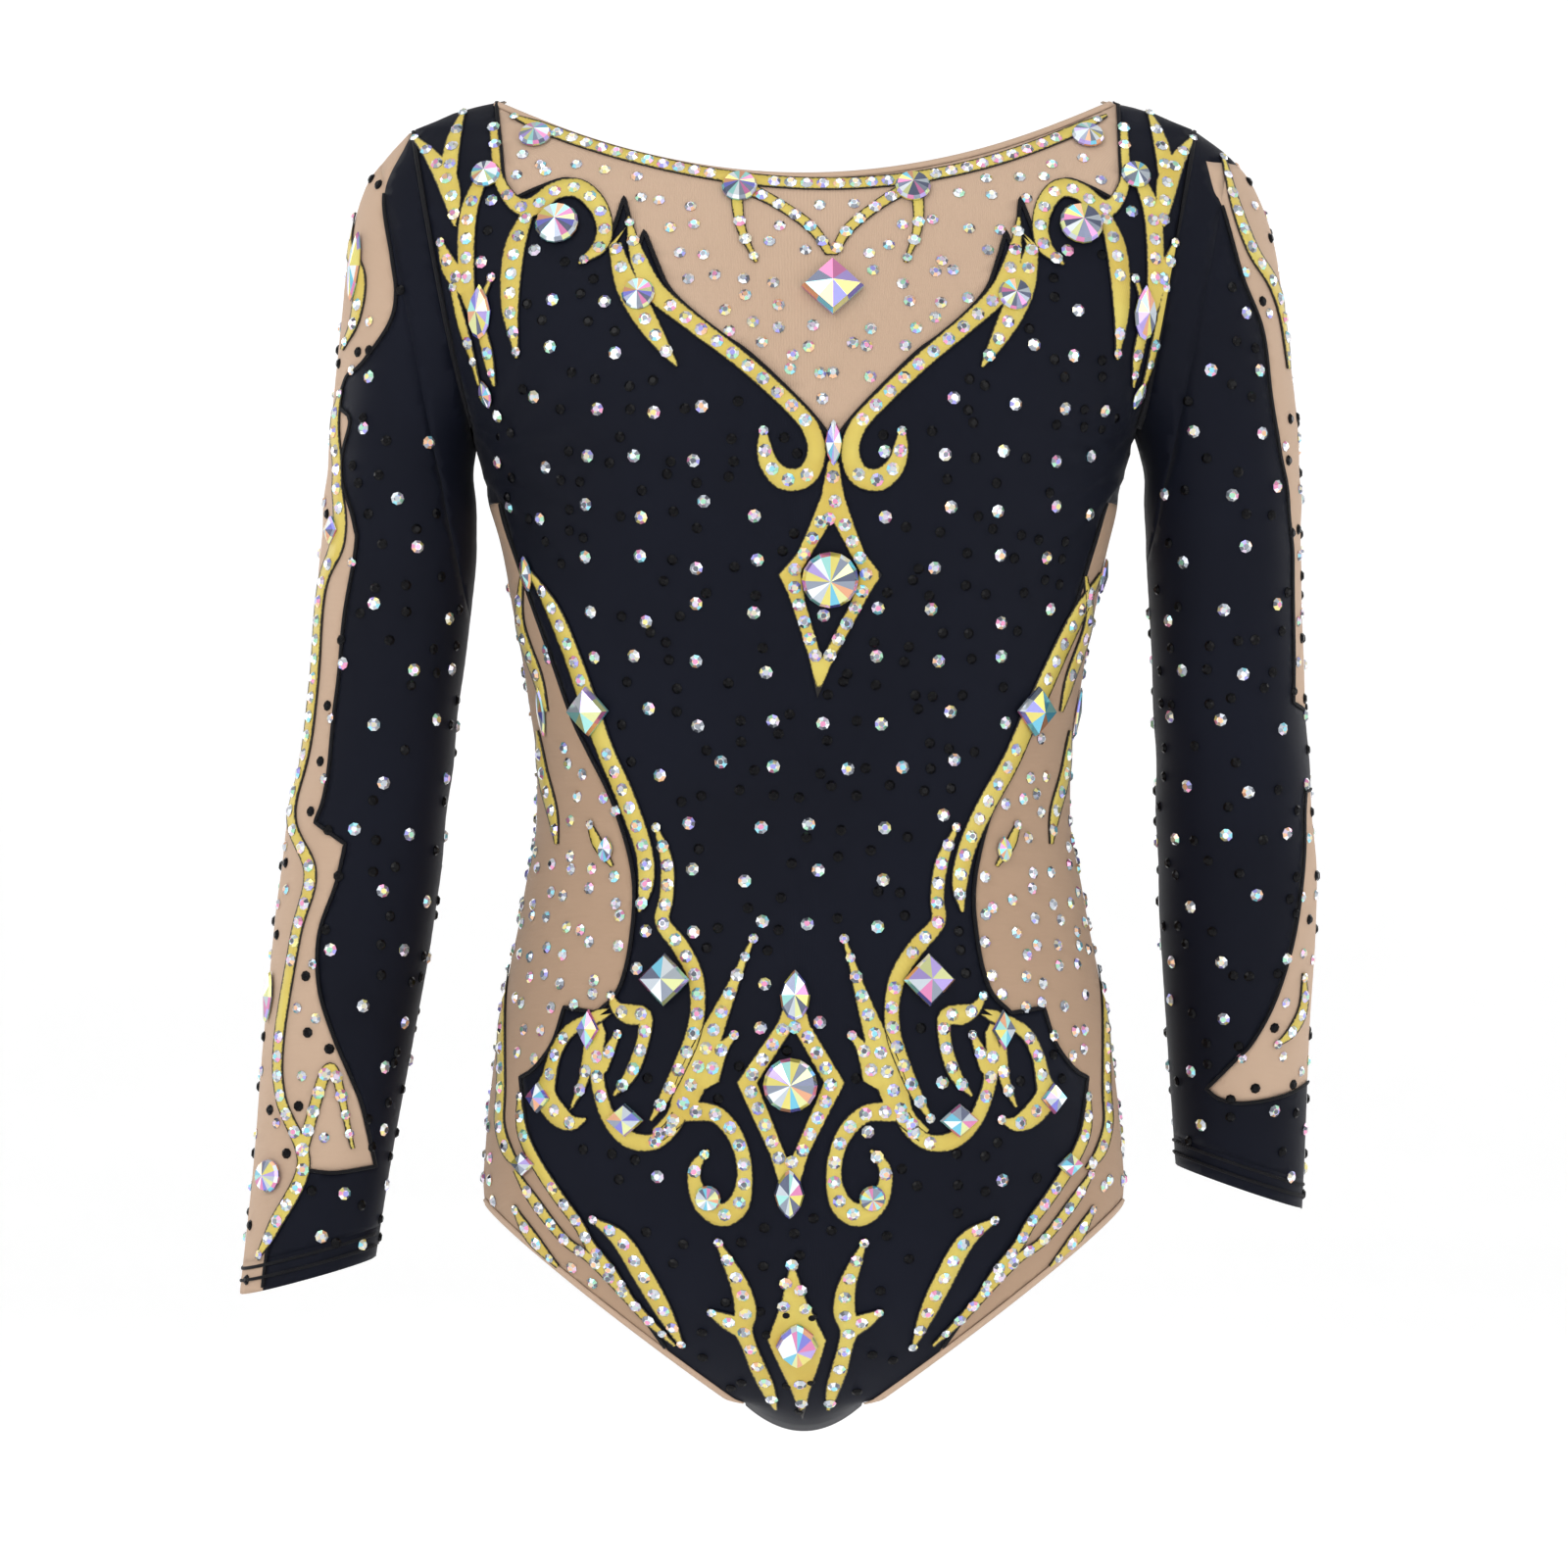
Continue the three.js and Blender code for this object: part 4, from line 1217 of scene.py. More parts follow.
@dataclass
class Applique:
    """A raised flat shape sewn on the front of a surface."""

    surface: Surface
    lift: float = 0.35
    thickness: float = 0.6
    outline_width: float = 0.7
    spacing: float = 2.2

    def of_strokes(self, name: str, paths: Sequence[Points]) -> bpy.types.Object:
        """Makes one piece of strokes that run into each other.

        Args:
            name: The piece's name.
            paths: Rows of x, z and width of each stroke.

        Returns:
            The piece, with its thickness.
        """
        grown = [np.column_stack([path[:, :2], path[:, 2] + self.outline_width]) for path in paths]
        points: list[Points] = []
        edges: list[tuple[int, int]] = []
        count = 0
        for path in grown:
            along = np.gradient(path[:, :2], axis=0)
            along /= np.maximum(np.linalg.norm(along, axis=1, keepdims=True), 1e-9)
            normal = np.stack([-along[:, 1], along[:, 0]], axis=1) * path[:, 2:] / 2
            rows = len(path)
            for column in (path[:, :2] - normal, path[:, :2], path[:, :2] + normal):
                points.append(column)
                edges += [(count + i, count + i + 1) for i in range(rows - 1)]
                count += rows
            edges += [(count - rows, count - 3 * rows), (count - 1, count - 2 * rows - 1)]
        return self._fill(name, np.vstack(points), edges, lambda x, z: reach_inside(grown, x, z))

    def of_outline(self, name: str, outline: Points, window: Points | None) -> bpy.types.Object:
        """Makes one piece of a closed outline with an optional window.

        Args:
            name: The piece's name.
            outline: Its corners.
            window: The window's corners.

        Returns:
            The piece, with its thickness.
        """
        loops = [outline] + ([window] if window is not None else [])
        points: list[tuple[float, float]] = []
        edges: list[tuple[int, int]] = []
        for loop in loops:
            dense = densify([*loop, loop[0]], self.spacing)[:-1]
            first = len(points)
            points += [tuple(row) for row in dense]
            edges += [(first + i, first + (i + 1) % len(dense)) for i in range(len(dense))]
        rim = np.array(points)

        def reach(x: Points, z: Points) -> Points:
            """How far inside the outline each point is.

            Args:
                x: Distances across.
                z: Heights.

            Returns:
                Distances, below 0 outside.
            """
            held = inside(outline, x, z)
            if window is not None:
                held &= ~inside(window, x, z)
            gap = np.linalg.norm(np.stack([x, z], axis=1)[:, None, :] - rim, axis=2).min(axis=1)
            return np.where(held, gap, -gap)

        low, high = rim.min(axis=0), rim.max(axis=0)
        grid = np.stack(np.meshgrid(np.arange(low[0], high[0], self.spacing),
                                    np.arange(low[1], high[1], self.spacing)), axis=-1).reshape(-1, 2)
        inner = grid[reach(grid[:, 0], grid[:, 1]) > self.spacing * 0.6]
        return self._fill(name, np.vstack([rim, inner]), edges, reach)

    def _fill(self, name: str, points: Points, edges: list[tuple[int, int]],
              reach: Callable[[Points, Points], Points]) -> bpy.types.Object:
        """Fills a shape with triangles, lays it on the surface and makes it thick.

        Args:
            name: The piece's name.
            points: Points across and up.
            edges: Pairs of their numbers that are kept as edges.
            reach: How far inside the shape a point is.

        Returns:
            The piece.
        """
        made = delaunay_2d_cdt([Vector(row) for row in points], edges, [], 0, 0.01)
        flat = np.array([tuple(v) for v in made[0]])
        faces = np.array([face for face in made[2] if len(face) == 3])
        middle = flat[faces].mean(axis=1)
        faces = faces[reach(middle[:, 0], middle[:, 1]) > 0]
        used, inverse = np.unique(faces, return_inverse=True)
        flat = flat[used]
        angle = self.surface.front_angle(flat[:, 0], flat[:, 1])
        obj = make_mesh(name, self.surface.at(angle, flat[:, 1], self.lift), inverse.reshape(-1, 3))
        set_uv(obj, flat)
        set_value(obj, "edge", np.maximum(reach(flat[:, 0], flat[:, 1]), 0))
        apply_solidify(obj, self.thickness, offset=1.0)
        return obj


# ------------------------------------------------------------------ stones
class Cut(Enum):
    """The outline of a stone."""

    RHINESTONE = "rhinestone"
    ROUND = "round"
    SQUARE = "square"
    NAVETTE = "navette"
    PEAR = "pear"


# Facet colours of the small stones: the white ones are painted glints, the grey and near-black ones are
# painted reflections of darker surroundings, and the coloured ones are the stones' iridescent coating.
FACET_TINTS_AND_GLINTS = np.array([(0.90, 0.93, 0.96), (0.90, 0.93, 0.96), (0.62, 0.66, 0.70), (0.50, 0.54, 0.60),
                  (0.50, 0.54, 0.60), (0.28, 0.31, 0.36), (0.28, 0.31, 0.36), (0.10, 0.11, 0.14),
                  (0.28, 0.72, 0.85), (0.82, 0.30, 0.52), (0.85, 0.76, 0.28), (0.36, 0.34, 0.82),
                  (0.38, 0.75, 0.52), (0.85, 0.50, 0.30), (0.66, 0.62, 0.46), (0.70, 0.58, 0.74)])


# Facet colours of the large stones: the pale one is a painted glint, the grey and dark ones are painted
# reflections, and the coloured ones are the stones' iridescent coating.
LARGE_FACET_TINTS_AND_GLINTS = np.array([(0.82, 0.88, 0.92), (0.50, 0.56, 0.62), (0.24, 0.28, 0.36), (0.10, 0.12, 0.20),
                        (0.14, 0.52, 0.70), (0.34, 0.72, 0.68), (0.66, 0.20, 0.42), (0.74, 0.66, 0.16),
                        (0.70, 0.74, 0.34), (0.18, 0.18, 0.62), (0.44, 0.34, 0.74), (0.74, 0.36, 0.20)])


@dataclass
class StoneCutter:
    """Cuts each kind of stone once, one millimetre across, with its back at height 0."""

    shapes: dict[Cut, tuple[Points, list[tuple[int, ...]]]] = field(default_factory=dict)

    def shape(self, cut: Cut) -> tuple[Points, list[tuple[int, ...]]]:
        """The vertices and faces of a cut, made on first use.

        Args:
            cut: The kind of stone.

        Returns:
            Vertices and faces.
        """
        if cut not in self.shapes:
            self.shapes[cut] = self._carve(cut)
        return self.shapes[cut]

    def _carve(self, cut: Cut) -> tuple[Points, list[tuple[int, ...]]]:
        """Models one stone with mesh operators and reads it back.

        Args:
            cut: The kind of stone.

        Returns:
            Vertices and faces.
        """
        small = cut is Cut.RHINESTONE
        sides = {Cut.RHINESTONE: 8, Cut.ROUND: 16, Cut.SQUARE: 8, Cut.NAVETTE: 12, Cut.PEAR: 12}[cut]
        table, rise = (0.27, 0.2) if small else (0.44, 0.1)
        bpy.ops.mesh.primitive_cone_add(vertices=sides, radius1=0.5, radius2=table, depth=rise,
                                        location=(0, 0, rise / 2 + 0.06), end_fill_type="NGON")
        obj = bpy.context.active_object
        select_only(obj)
        bpy.ops.object.transform_apply(location=True, rotation=True, scale=True)
        bpy.ops.object.mode_set(mode="EDIT")
        work = bmesh.from_edit_mesh(obj.data)
        for face in work.faces:
            face.select_set(face.normal.z < -0.9)
        bmesh.update_edit_mesh(obj.data)
        bpy.ops.mesh.extrude_region_move(TRANSFORM_OT_translate={"value": (0, 0, -0.06)})
        bpy.ops.mesh.select_all(action="DESELECT")
        work = bmesh.from_edit_mesh(obj.data)
        for face in work.faces:
            face.select_set(face.normal.z > 0.95)
        bmesh.update_edit_mesh(obj.data)
        if cut is Cut.RHINESTONE:
            bpy.ops.mesh.inset(thickness=0.06)
        else:
            bpy.ops.mesh.poke(offset=0.13)
        bpy.ops.object.mode_set(mode="OBJECT")
        points = np.array([v.co for v in obj.data.vertices], float)
        faces = [tuple(p.vertices) for p in obj.data.polygons]
        bpy.data.objects.remove(obj)
        points, faces = self._in_order(points, faces)
        return self._outlined(points, cut), faces

    @staticmethod
    def _in_order(points: Points, faces: list[tuple[int, ...]]) -> tuple[Points, list[tuple[int, ...]]]:
        """The same stone in a fixed order, since mesh operators number new parts anew in each run.

        Args:
            points: Vertices.
            faces: Faces.

        Returns:
            Vertices sorted by place, and faces that start at their first vertex and are sorted.
        """
        order = np.lexsort(np.round(points, 4).T + 0.0)
        number = np.argsort(order)
        turned = []
        for face in faces:
            renamed = [int(number[v]) for v in face]
            first = renamed.index(min(renamed))
            turned.append(tuple(renamed[first:] + renamed[:first]))
        return points[order], sorted(turned)

    @staticmethod
    def _outlined(points: Points, cut: Cut) -> Points:
        """The round stone's vertices moved to the outline of another cut.

        Args:
            points: Vertices of the round stone.
            cut: The kind of stone.

        Returns:
            The vertices.
        """
        angle = np.arctan2(points[:, 1], points[:, 0])
        if cut is Cut.SQUARE:
            squeeze = 0.72 + 0.28 * np.abs(np.cos(2 * angle))
            points[:, :2] *= squeeze[:, None]
        if cut is Cut.NAVETTE:
            points[:, 0] *= 1 - 0.55 * np.abs(np.sin(angle)) ** 2
        if cut is Cut.PEAR:
            points[:, 0] *= np.where(np.sin(angle) > 0, 1 - 0.75 * np.sin(angle) ** 2, 1.0)
        return points


@dataclass
class Stone:
    """One stone's place and size. Without an angle it lies on the front."""

    x: float
    z: float
    width: float
    height: float
    cut: Cut = Cut.RHINESTONE
    lift: float = 0.1
    angle: float | None = None


@dataclass
class StoneSetter:
    """Sets stones on a surface and joins each set in one mesh."""

    surface: Surface
    cutter: StoneCutter
    seed: int = 5

    def make(self, name: str, stones: Sequence[Stone], finish: bpy.types.Material,
             tints_used: Points | None = FACET_TINTS_AND_GLINTS) -> bpy.types.Object:
        """Makes one piece of many stones.

        Args:
            name: The piece's name.
            stones: The stones.
            finish: Their material.
            tints_used: The colours that the facets take, or none; the white ones are painted glints and the
                dark ones are painted reflections.

        Returns:
            The piece.
        """
        rng = np.random.default_rng(self.seed + len(name) + len(stones))
        x, z = np.array([s.x for s in stones]), np.array([s.z for s in stones])
        angle = self.surface.front_angle(x, z)
        angle = np.array([a if stone.angle is None else stone.angle for a, stone in zip(angle, stones)])
        base = self.surface.at(angle, z, np.array([s.lift for s in stones]))
        normal = self.surface.normal(angle, z)
        points, faces, tints = [], [], []
        count = 0
        for i, stone in enumerate(stones):
            shape, sides = self.cutter.shape(stone.cut)
            up = np.array([0.0, 0.0, 1.0]) - normal[i] * normal[i][2]
            up /= max(np.linalg.norm(up), 1e-9)
            right = np.cross(up, normal[i])
            turn = rng.uniform(0, 0.7) if stone.cut is Cut.RHINESTONE else 0.0
            c, s = math.cos(turn), math.sin(turn)
            local = np.stack([shape[:, 0] * c - shape[:, 1] * s, shape[:, 0] * s + shape[:, 1] * c], axis=1)
            thick = min(stone.width, stone.height)
            points.append(base[i] + local[:, :1] * stone.width * right + local[:, 1:] * stone.height * up
                          + shape[:, 2:] * thick * normal[i])
            faces += [tuple(count + v for v in side) for side in sides]
            tints += list(rng.integers(0, 1 if tints_used is None else len(tints_used), len(sides)))
            count += len(shape)
        obj = make_mesh(name, np.vstack(points), faces, smooth=False)
        # Each facet takes a colour at random from the palette: painted glints, painted reflections or the
        # coating's colours.
        if tints_used is not None:
            attribute = obj.data.attributes.new("facet", "FLOAT_COLOR", "CORNER")
            sizes = [len(face) for face in faces]
            colours = np.repeat(tints_used[np.array(tints)], sizes, axis=0)
            rows = np.hstack([colours, np.ones((len(colours), 1))])
            attribute.data.foreach_set("color", rows.astype(np.float32).ravel())
        obj.data.materials.append(finish)
        return obj


SMALL = 5.6
JET = 4.6
LARGE_PAIRED = {
    "crystal_yoke_round": (109.5, -58.5, 18.5, 18.5, Cut.ROUND),
    "crystal_neck_round": (36.3, -43, 15, 15, Cut.ROUND),
    "crystal_bust_round": (78, -89.5, 14, 14, Cut.ROUND),
    "crystal_waist_square": (93, -262, 21, 21, Cut.SQUARE),
    "crystal_hip_square": (54.5, -374, 22, 22, Cut.SQUARE),
}
LARGE_MIDDLE = {
    "crystal_yoke_square": (0, -87, 26, 26, Cut.SQUARE),
    "crystal_yoke_navette": (0, -152, 7, 19, Cut.NAVETTE),
    "crystal_chest_round": (0, -208, 23.5, 23.5, Cut.ROUND),
    "crystal_upper_pear": (0, -380, 12.5, 21, Cut.PEAR),
    "crystal_belly_round": (0, -417, 22.5, 22.5, Cut.ROUND),
    "crystal_lower_pear": (0, -462, 12.5, 21, Cut.NAVETTE),
    "crystal_crotch_navette": (0, -527, 18, 23, Cut.NAVETTE),
}
# Further fancy stones, which the solids leave out.
FANCY = [(117, -18.5, 14, 14, Cut.ROUND), (137, -36, 13, 13, Cut.ROUND), (139, -95, 11, 23, Cut.PEAR),
         (137, -129, 7, 12, Cut.NAVETTE), (121, -204, 8, 15, Cut.NAVETTE), (113, -262, 6, 21, Cut.NAVETTE),
         (83, -320, 7, 11, Cut.PEAR), (86, -395, 11, 17, Cut.SQUARE), (107, -424, 13, 13, Cut.SQUARE),
         (69, -432, 17, 14, Cut.SQUARE), (34, -464, 11, 11, Cut.ROUND), (114, -452, 14, 10, Cut.SQUARE)]


# ------------------------------------------------------------------ the garment
@dataclass
class Part:
    """What every sub-assembly shares: its finishes and how it hands pieces to the frame."""

    finishes: Finishes

    def dress(self, obj: bpy.types.Object, finish: bpy.types.Material, slot: str, body: str,
              *nodes: str) -> bpy.types.Object:
        """Gives a piece its material and body, and hides the solids that it stands for.

        Args:
            obj: The piece.
            finish: Its material.
            slot: The record's material slot. Not used.
            body: The body that it rides on.
            nodes: Solids that it replaces.

        Returns:
            The piece.
        """
        obj.data.materials.clear()
        obj.data.materials.append(finish)
        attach(obj, body)
        if nodes:
            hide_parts(*nodes)
        LOG.info("%s: %d faces on %s", obj.name, len(obj.data.polygons), body)
        return obj

    def declare_sheet(self, obj: bpy.types.Object, area: float) -> None:
        """Does nothing: no panel is declared as cloth.

        Args:
            obj: The panel. Not used.
            area: Its stretched area in square metres. Not used.
        """


@dataclass
class TorsoPart(Part):
    """The torso's fabric panels, its elastics and lining, and its stitched edges."""

    spacing: float = 4.0
    panel_stitch: float = 1.3
    armhole_stitch: float = 1.6
    turned_edge: float = 2.4
    lining_top: float = -500.0
    lining_inset: float = 1.1

    def build(self) -> None:
        """Cuts and dresses the panels."""
        cutter = Cutter(TORSO, top=0.0, bottom=CROTCH_Z, spacing=self.spacing)
        neck = [(x, neck_z(x)) for x in np.linspace(-NECK_HALF, NECK_HALF, 61)]
        cutter.add_front_line(neck)
        yoke = placed(YOKE_LINE)
        other = placed(YOKE_LINE * [-1, 1])
        cutter.add_front_line(yoke)
        cutter.add_front_line(other)
        armhole = [(float(armhole_x(z)), z) for z in np.linspace(SHOULDER[1], ARMPIT[1], 30)]
        for side in Side:
            cutter.add_front_line([(141, -172), *SIDE_LINE], side.value)
            cutter.add_front_line([LEG_TOP, LEG_LOW, (LEG_LOW[0] - 1, CROTCH_Z)], side.value)
            cutter.add_front_line(armhole, side.value)
        cutter.add_upright(0.0)
        cutter.add_upright(math.pi)
        sheets = cutter.cut(torso_label)
        for name, sheet in sheets.items():
            area = cloth_area(sheet)
            apply_solidify(sheet, FABRIC)
            mesh = "yoke" in name or "mesh" in name
            node = name.replace("_fabric", "").replace("_yoke", "_yoke_mesh")
            # The side mesh panels take the darker nude copy, which paints in their shade.
            finish = self.finishes.nude_side if name.startswith("side") else self.finishes.nude
            self.dress(sheet, finish if mesh else self.finishes.black,
                       "nude_mesh" if mesh else "black_stretch_fabric", "torso", node)
            self.declare_sheet(sheet, area)
        self._inside()
        self._edges(yoke, other, armhole)

    def _inside(self) -> None:
        """The elastics along the neck and leg edges, and the gusset lining."""
        tape = Ribbon(TORSO, lift=-1.3, crown=0.0, thickness=0.7, step=3.0, columns=4)
        x = np.linspace(-NECK_HALF - 1, NECK_HALF + 1, 90)
        band = np.stack([x * 1.012, neck_z(x) - ELASTIC / 2, np.full_like(x, ELASTIC)], axis=1)
        elastic = tape.make("neck_elastic_tape", [(band, False), (band, True)])
        self.dress(elastic, self.finishes.elastic, "elastic", "torso", "neck_elastic")
        for side in Side:
            line = densify([(LEG_TOP[0] + 2, LEG_TOP[1] + 1), LEG_LOW, (LEG_LOW[0] - 3, -568)], 3.0)
            path = np.stack([side.value * (line[:, 0] - 2), line[:, 1] + 2.5,
                             np.full(len(line), ELASTIC)], axis=1)
            elastic = tape.make(f"leg_elastic_{side.word}_tape", [(path, False), (path, True)])
            self.dress(elastic, self.finishes.elastic, "elastic", "torso", f"leg_elastic_{side.word}")
        cutter = Cutter(TORSO, top=self.lining_top, bottom=CROTCH_Z, spacing=self.spacing)

        def label(angle: Points, z: Points) -> Points:
            """Names the lining's region."""
            narrow = np.abs(TORSO.raw(angle, z)[:, 0]) < 24 + (z > -556) * np.minimum((z + 556) * 0.3, 8)
            return np.where(narrow, "gusset_lining_fabric", "").astype(object)

        lining = cutter.cut(label)["gusset_lining_fabric"]
        area = cloth_area(lining)
        lining.data.shade_smooth()
        modifier = lining.modifiers.new("inset", "DISPLACE")
        modifier.strength = -self.lining_inset * MM
        modifier.mid_level = 0.0
        select_only(lining)
        bpy.ops.object.modifier_apply(modifier=modifier.name)
        apply_solidify(lining, FABRIC)
        self.dress(lining, self.finishes.lining, "lining", "torso", "gusset_lining")
        self.declare_sheet(lining, area)

    def _edges(self, yoke: Points, other: Points, armhole: Sequence[tuple[float, float]]) -> None:
        """Black stitching along the mesh panels' edges, armhole seams and turned garment edges.

        Args:
            yoke: One half of the yoke's edge.
            other: The other half.
            armhole: The armhole's corners.
        """
        bead = Ribbon(TORSO, lift=0.12, crown=0.3, thickness=0.4, columns=4)

        def line(points: Sequence[Sequence[float]], width: float, side: int = 1) -> Points:
            """A path of even width through corners."""
            dense = densify([(side * p[0], p[1]) for p in points], 1.6)
            return np.hstack([dense, np.full((len(dense), 1), width)])

        paths = [(line(edge, self.panel_stitch), back) for back in (False, True) for edge in (yoke, other)]
        low = SIDE_LINE[SIDE_LINE[:, 1] > leg_z(SIDE_LINE[:, 0]) + 1.5]
        for side in Side:
            paths += [(line(low, self.panel_stitch, side.value), back) for back in (False, True)]
        stitching = bead.make("panel_edge_stitching", paths)
        self.dress(stitching, self.finishes.thread, "black_stretch_fabric", "torso")
        seams = [(line(armhole[:-1], self.armhole_stitch, side.value), back)
                 for side in Side for back in (False, True)]
        seam = bead.make("armhole_seam_stitching", seams)
        self.dress(seam, self.finishes.thread, "black_stretch_fabric", "torso")
        legs = [(line([LEG_TOP, LEG_LOW], self.turned_edge, side.value), back)
                for side in Side for back in (False, True)]
        hem = bead.make("leg_edge_hem", legs)
        self.dress(hem, self.finishes.nude, "nude_mesh", "torso")
        x = np.linspace(-NECK_HALF + 1, NECK_HALF - 1, 120)
        edge = np.stack([x, neck_z(x) - 1.1, np.full_like(x, self.turned_edge)], axis=1)
        binding = bead.make("neck_edge_binding", [(edge, False), (edge, True)])
        self.dress(binding, self.finishes.nude, "nude_mesh", "torso")


@dataclass
class SleevePart(Part):
    """One sleeve: panel, mesh inlays, cuff, stretch band at the armhole, and stitching."""

    arm: Arm
    spacing: float = 3.6
    inlay_stitch: float = 1.2
    cuff_stitch: float = 0.9
    cuff_rows: tuple[float, ...] = (HEM - 2.5, HEM - 7.5)

    @property
    def body(self) -> str:
        """The body that the sleeve rides on."""
        return f"sleeve_{self.arm.side.word}"

    def build(self) -> None:
        """Cuts and dresses the sleeve."""
        arm, sign = self.arm, self.arm.side.value
        cutter = Cutter(arm, top=-14.0, bottom=arm.bottom, spacing=self.spacing)
        armhole = [(float(armhole_x(z)), z) for z in np.linspace(-14.5, ARMPIT[1], 40)]
        band = [(x + GUSSET_BAND / ARMHOLE_NORMAL[0], z) for x, z in armhole]
        low_x = ARMPIT[0] + (GUSSET_BAND - (-240 - ARMPIT[1]) * ARMHOLE_NORMAL[1]) / ARMHOLE_NORMAL[0]
        cutter.add_front_line(armhole, sign)
        cutter.add_front_line([*band, (low_x, -240)], sign)
        for edge in INLAYS[self.arm.side].values():
            cutter.add_front_line(edge, sign)
        across = np.linspace(140, 245, 60)
        for lift in (0.0, HEM):
            cutter.add_front_line([(x, float(arm.cuff_line(x, lift))) for x in across], sign)
        sheets = cutter.cut(arm_label(arm))
        for name, sheet in sheets.items():
            area = cloth_area(sheet)
            apply_solidify(sheet, FABRIC)
            mesh = "mesh" in name
            finish = self.finishes.nude if mesh else self.finishes.black
            slot = "nude_mesh" if mesh else "black_stretch_fabric"
            if name.startswith("armhole"):
                sheet.data.materials.append(finish)
                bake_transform(sheet)
            else:
                node = name.replace("_cuff_mesh", "_cuff").replace("_fabric", "")
                node = node if node in frame["nodes"] else f"{self.body}_panel"
                self.dress(sheet, finish, slot, self.body, node)
            self.declare_sheet(sheet, area)
        self._stitching()

    def _stitching(self) -> None:
        """Black stitching along the inlays' edges, and two rows round the cuff."""
        bead = Ribbon(self.arm, lift=0.12, crown=0.25, thickness=0.4, columns=4)
        sign = self.arm.side.value
        paths = []
        for edge in INLAYS[self.arm.side].values():
            dense = densify([(sign * x, z) for x, z in edge], 1.6)
            x, z = dense[:, 0], dense[:, 1]
            keep = (beyond_armhole(x, z) > GUSSET_BAND) & (z > self.arm.cuff_line(x, 1.0))
            keep &= np.abs(x) < self.arm.outer(z) - 0.2
            path = np.hstack([dense, np.full((len(dense), 1), self.inlay_stitch)])[keep]
            paths += [(path, False), (path, True)]
        stitching = bead.make(f"{self.body}_inlay_stitching", paths)
        self.dress(stitching, self.finishes.thread, "black_stretch_fabric", self.body)
        rows = []
        for lift in self.cuff_rows:
            x = np.linspace(self.arm.cuff_inner[0] + 1.5, self.arm.cuff_outer[0] - 2, 50)
            row = np.stack([sign * x, self.arm.cuff_line(x, lift),
                            np.full_like(x, self.cuff_stitch)], axis=1)
            rows += [(row, False), (row, True)]
        seam = bead.make(f"{self.body}_cuff_stitching", rows)
        self.dress(seam, self.finishes.thread, "black_stretch_fabric", self.body)


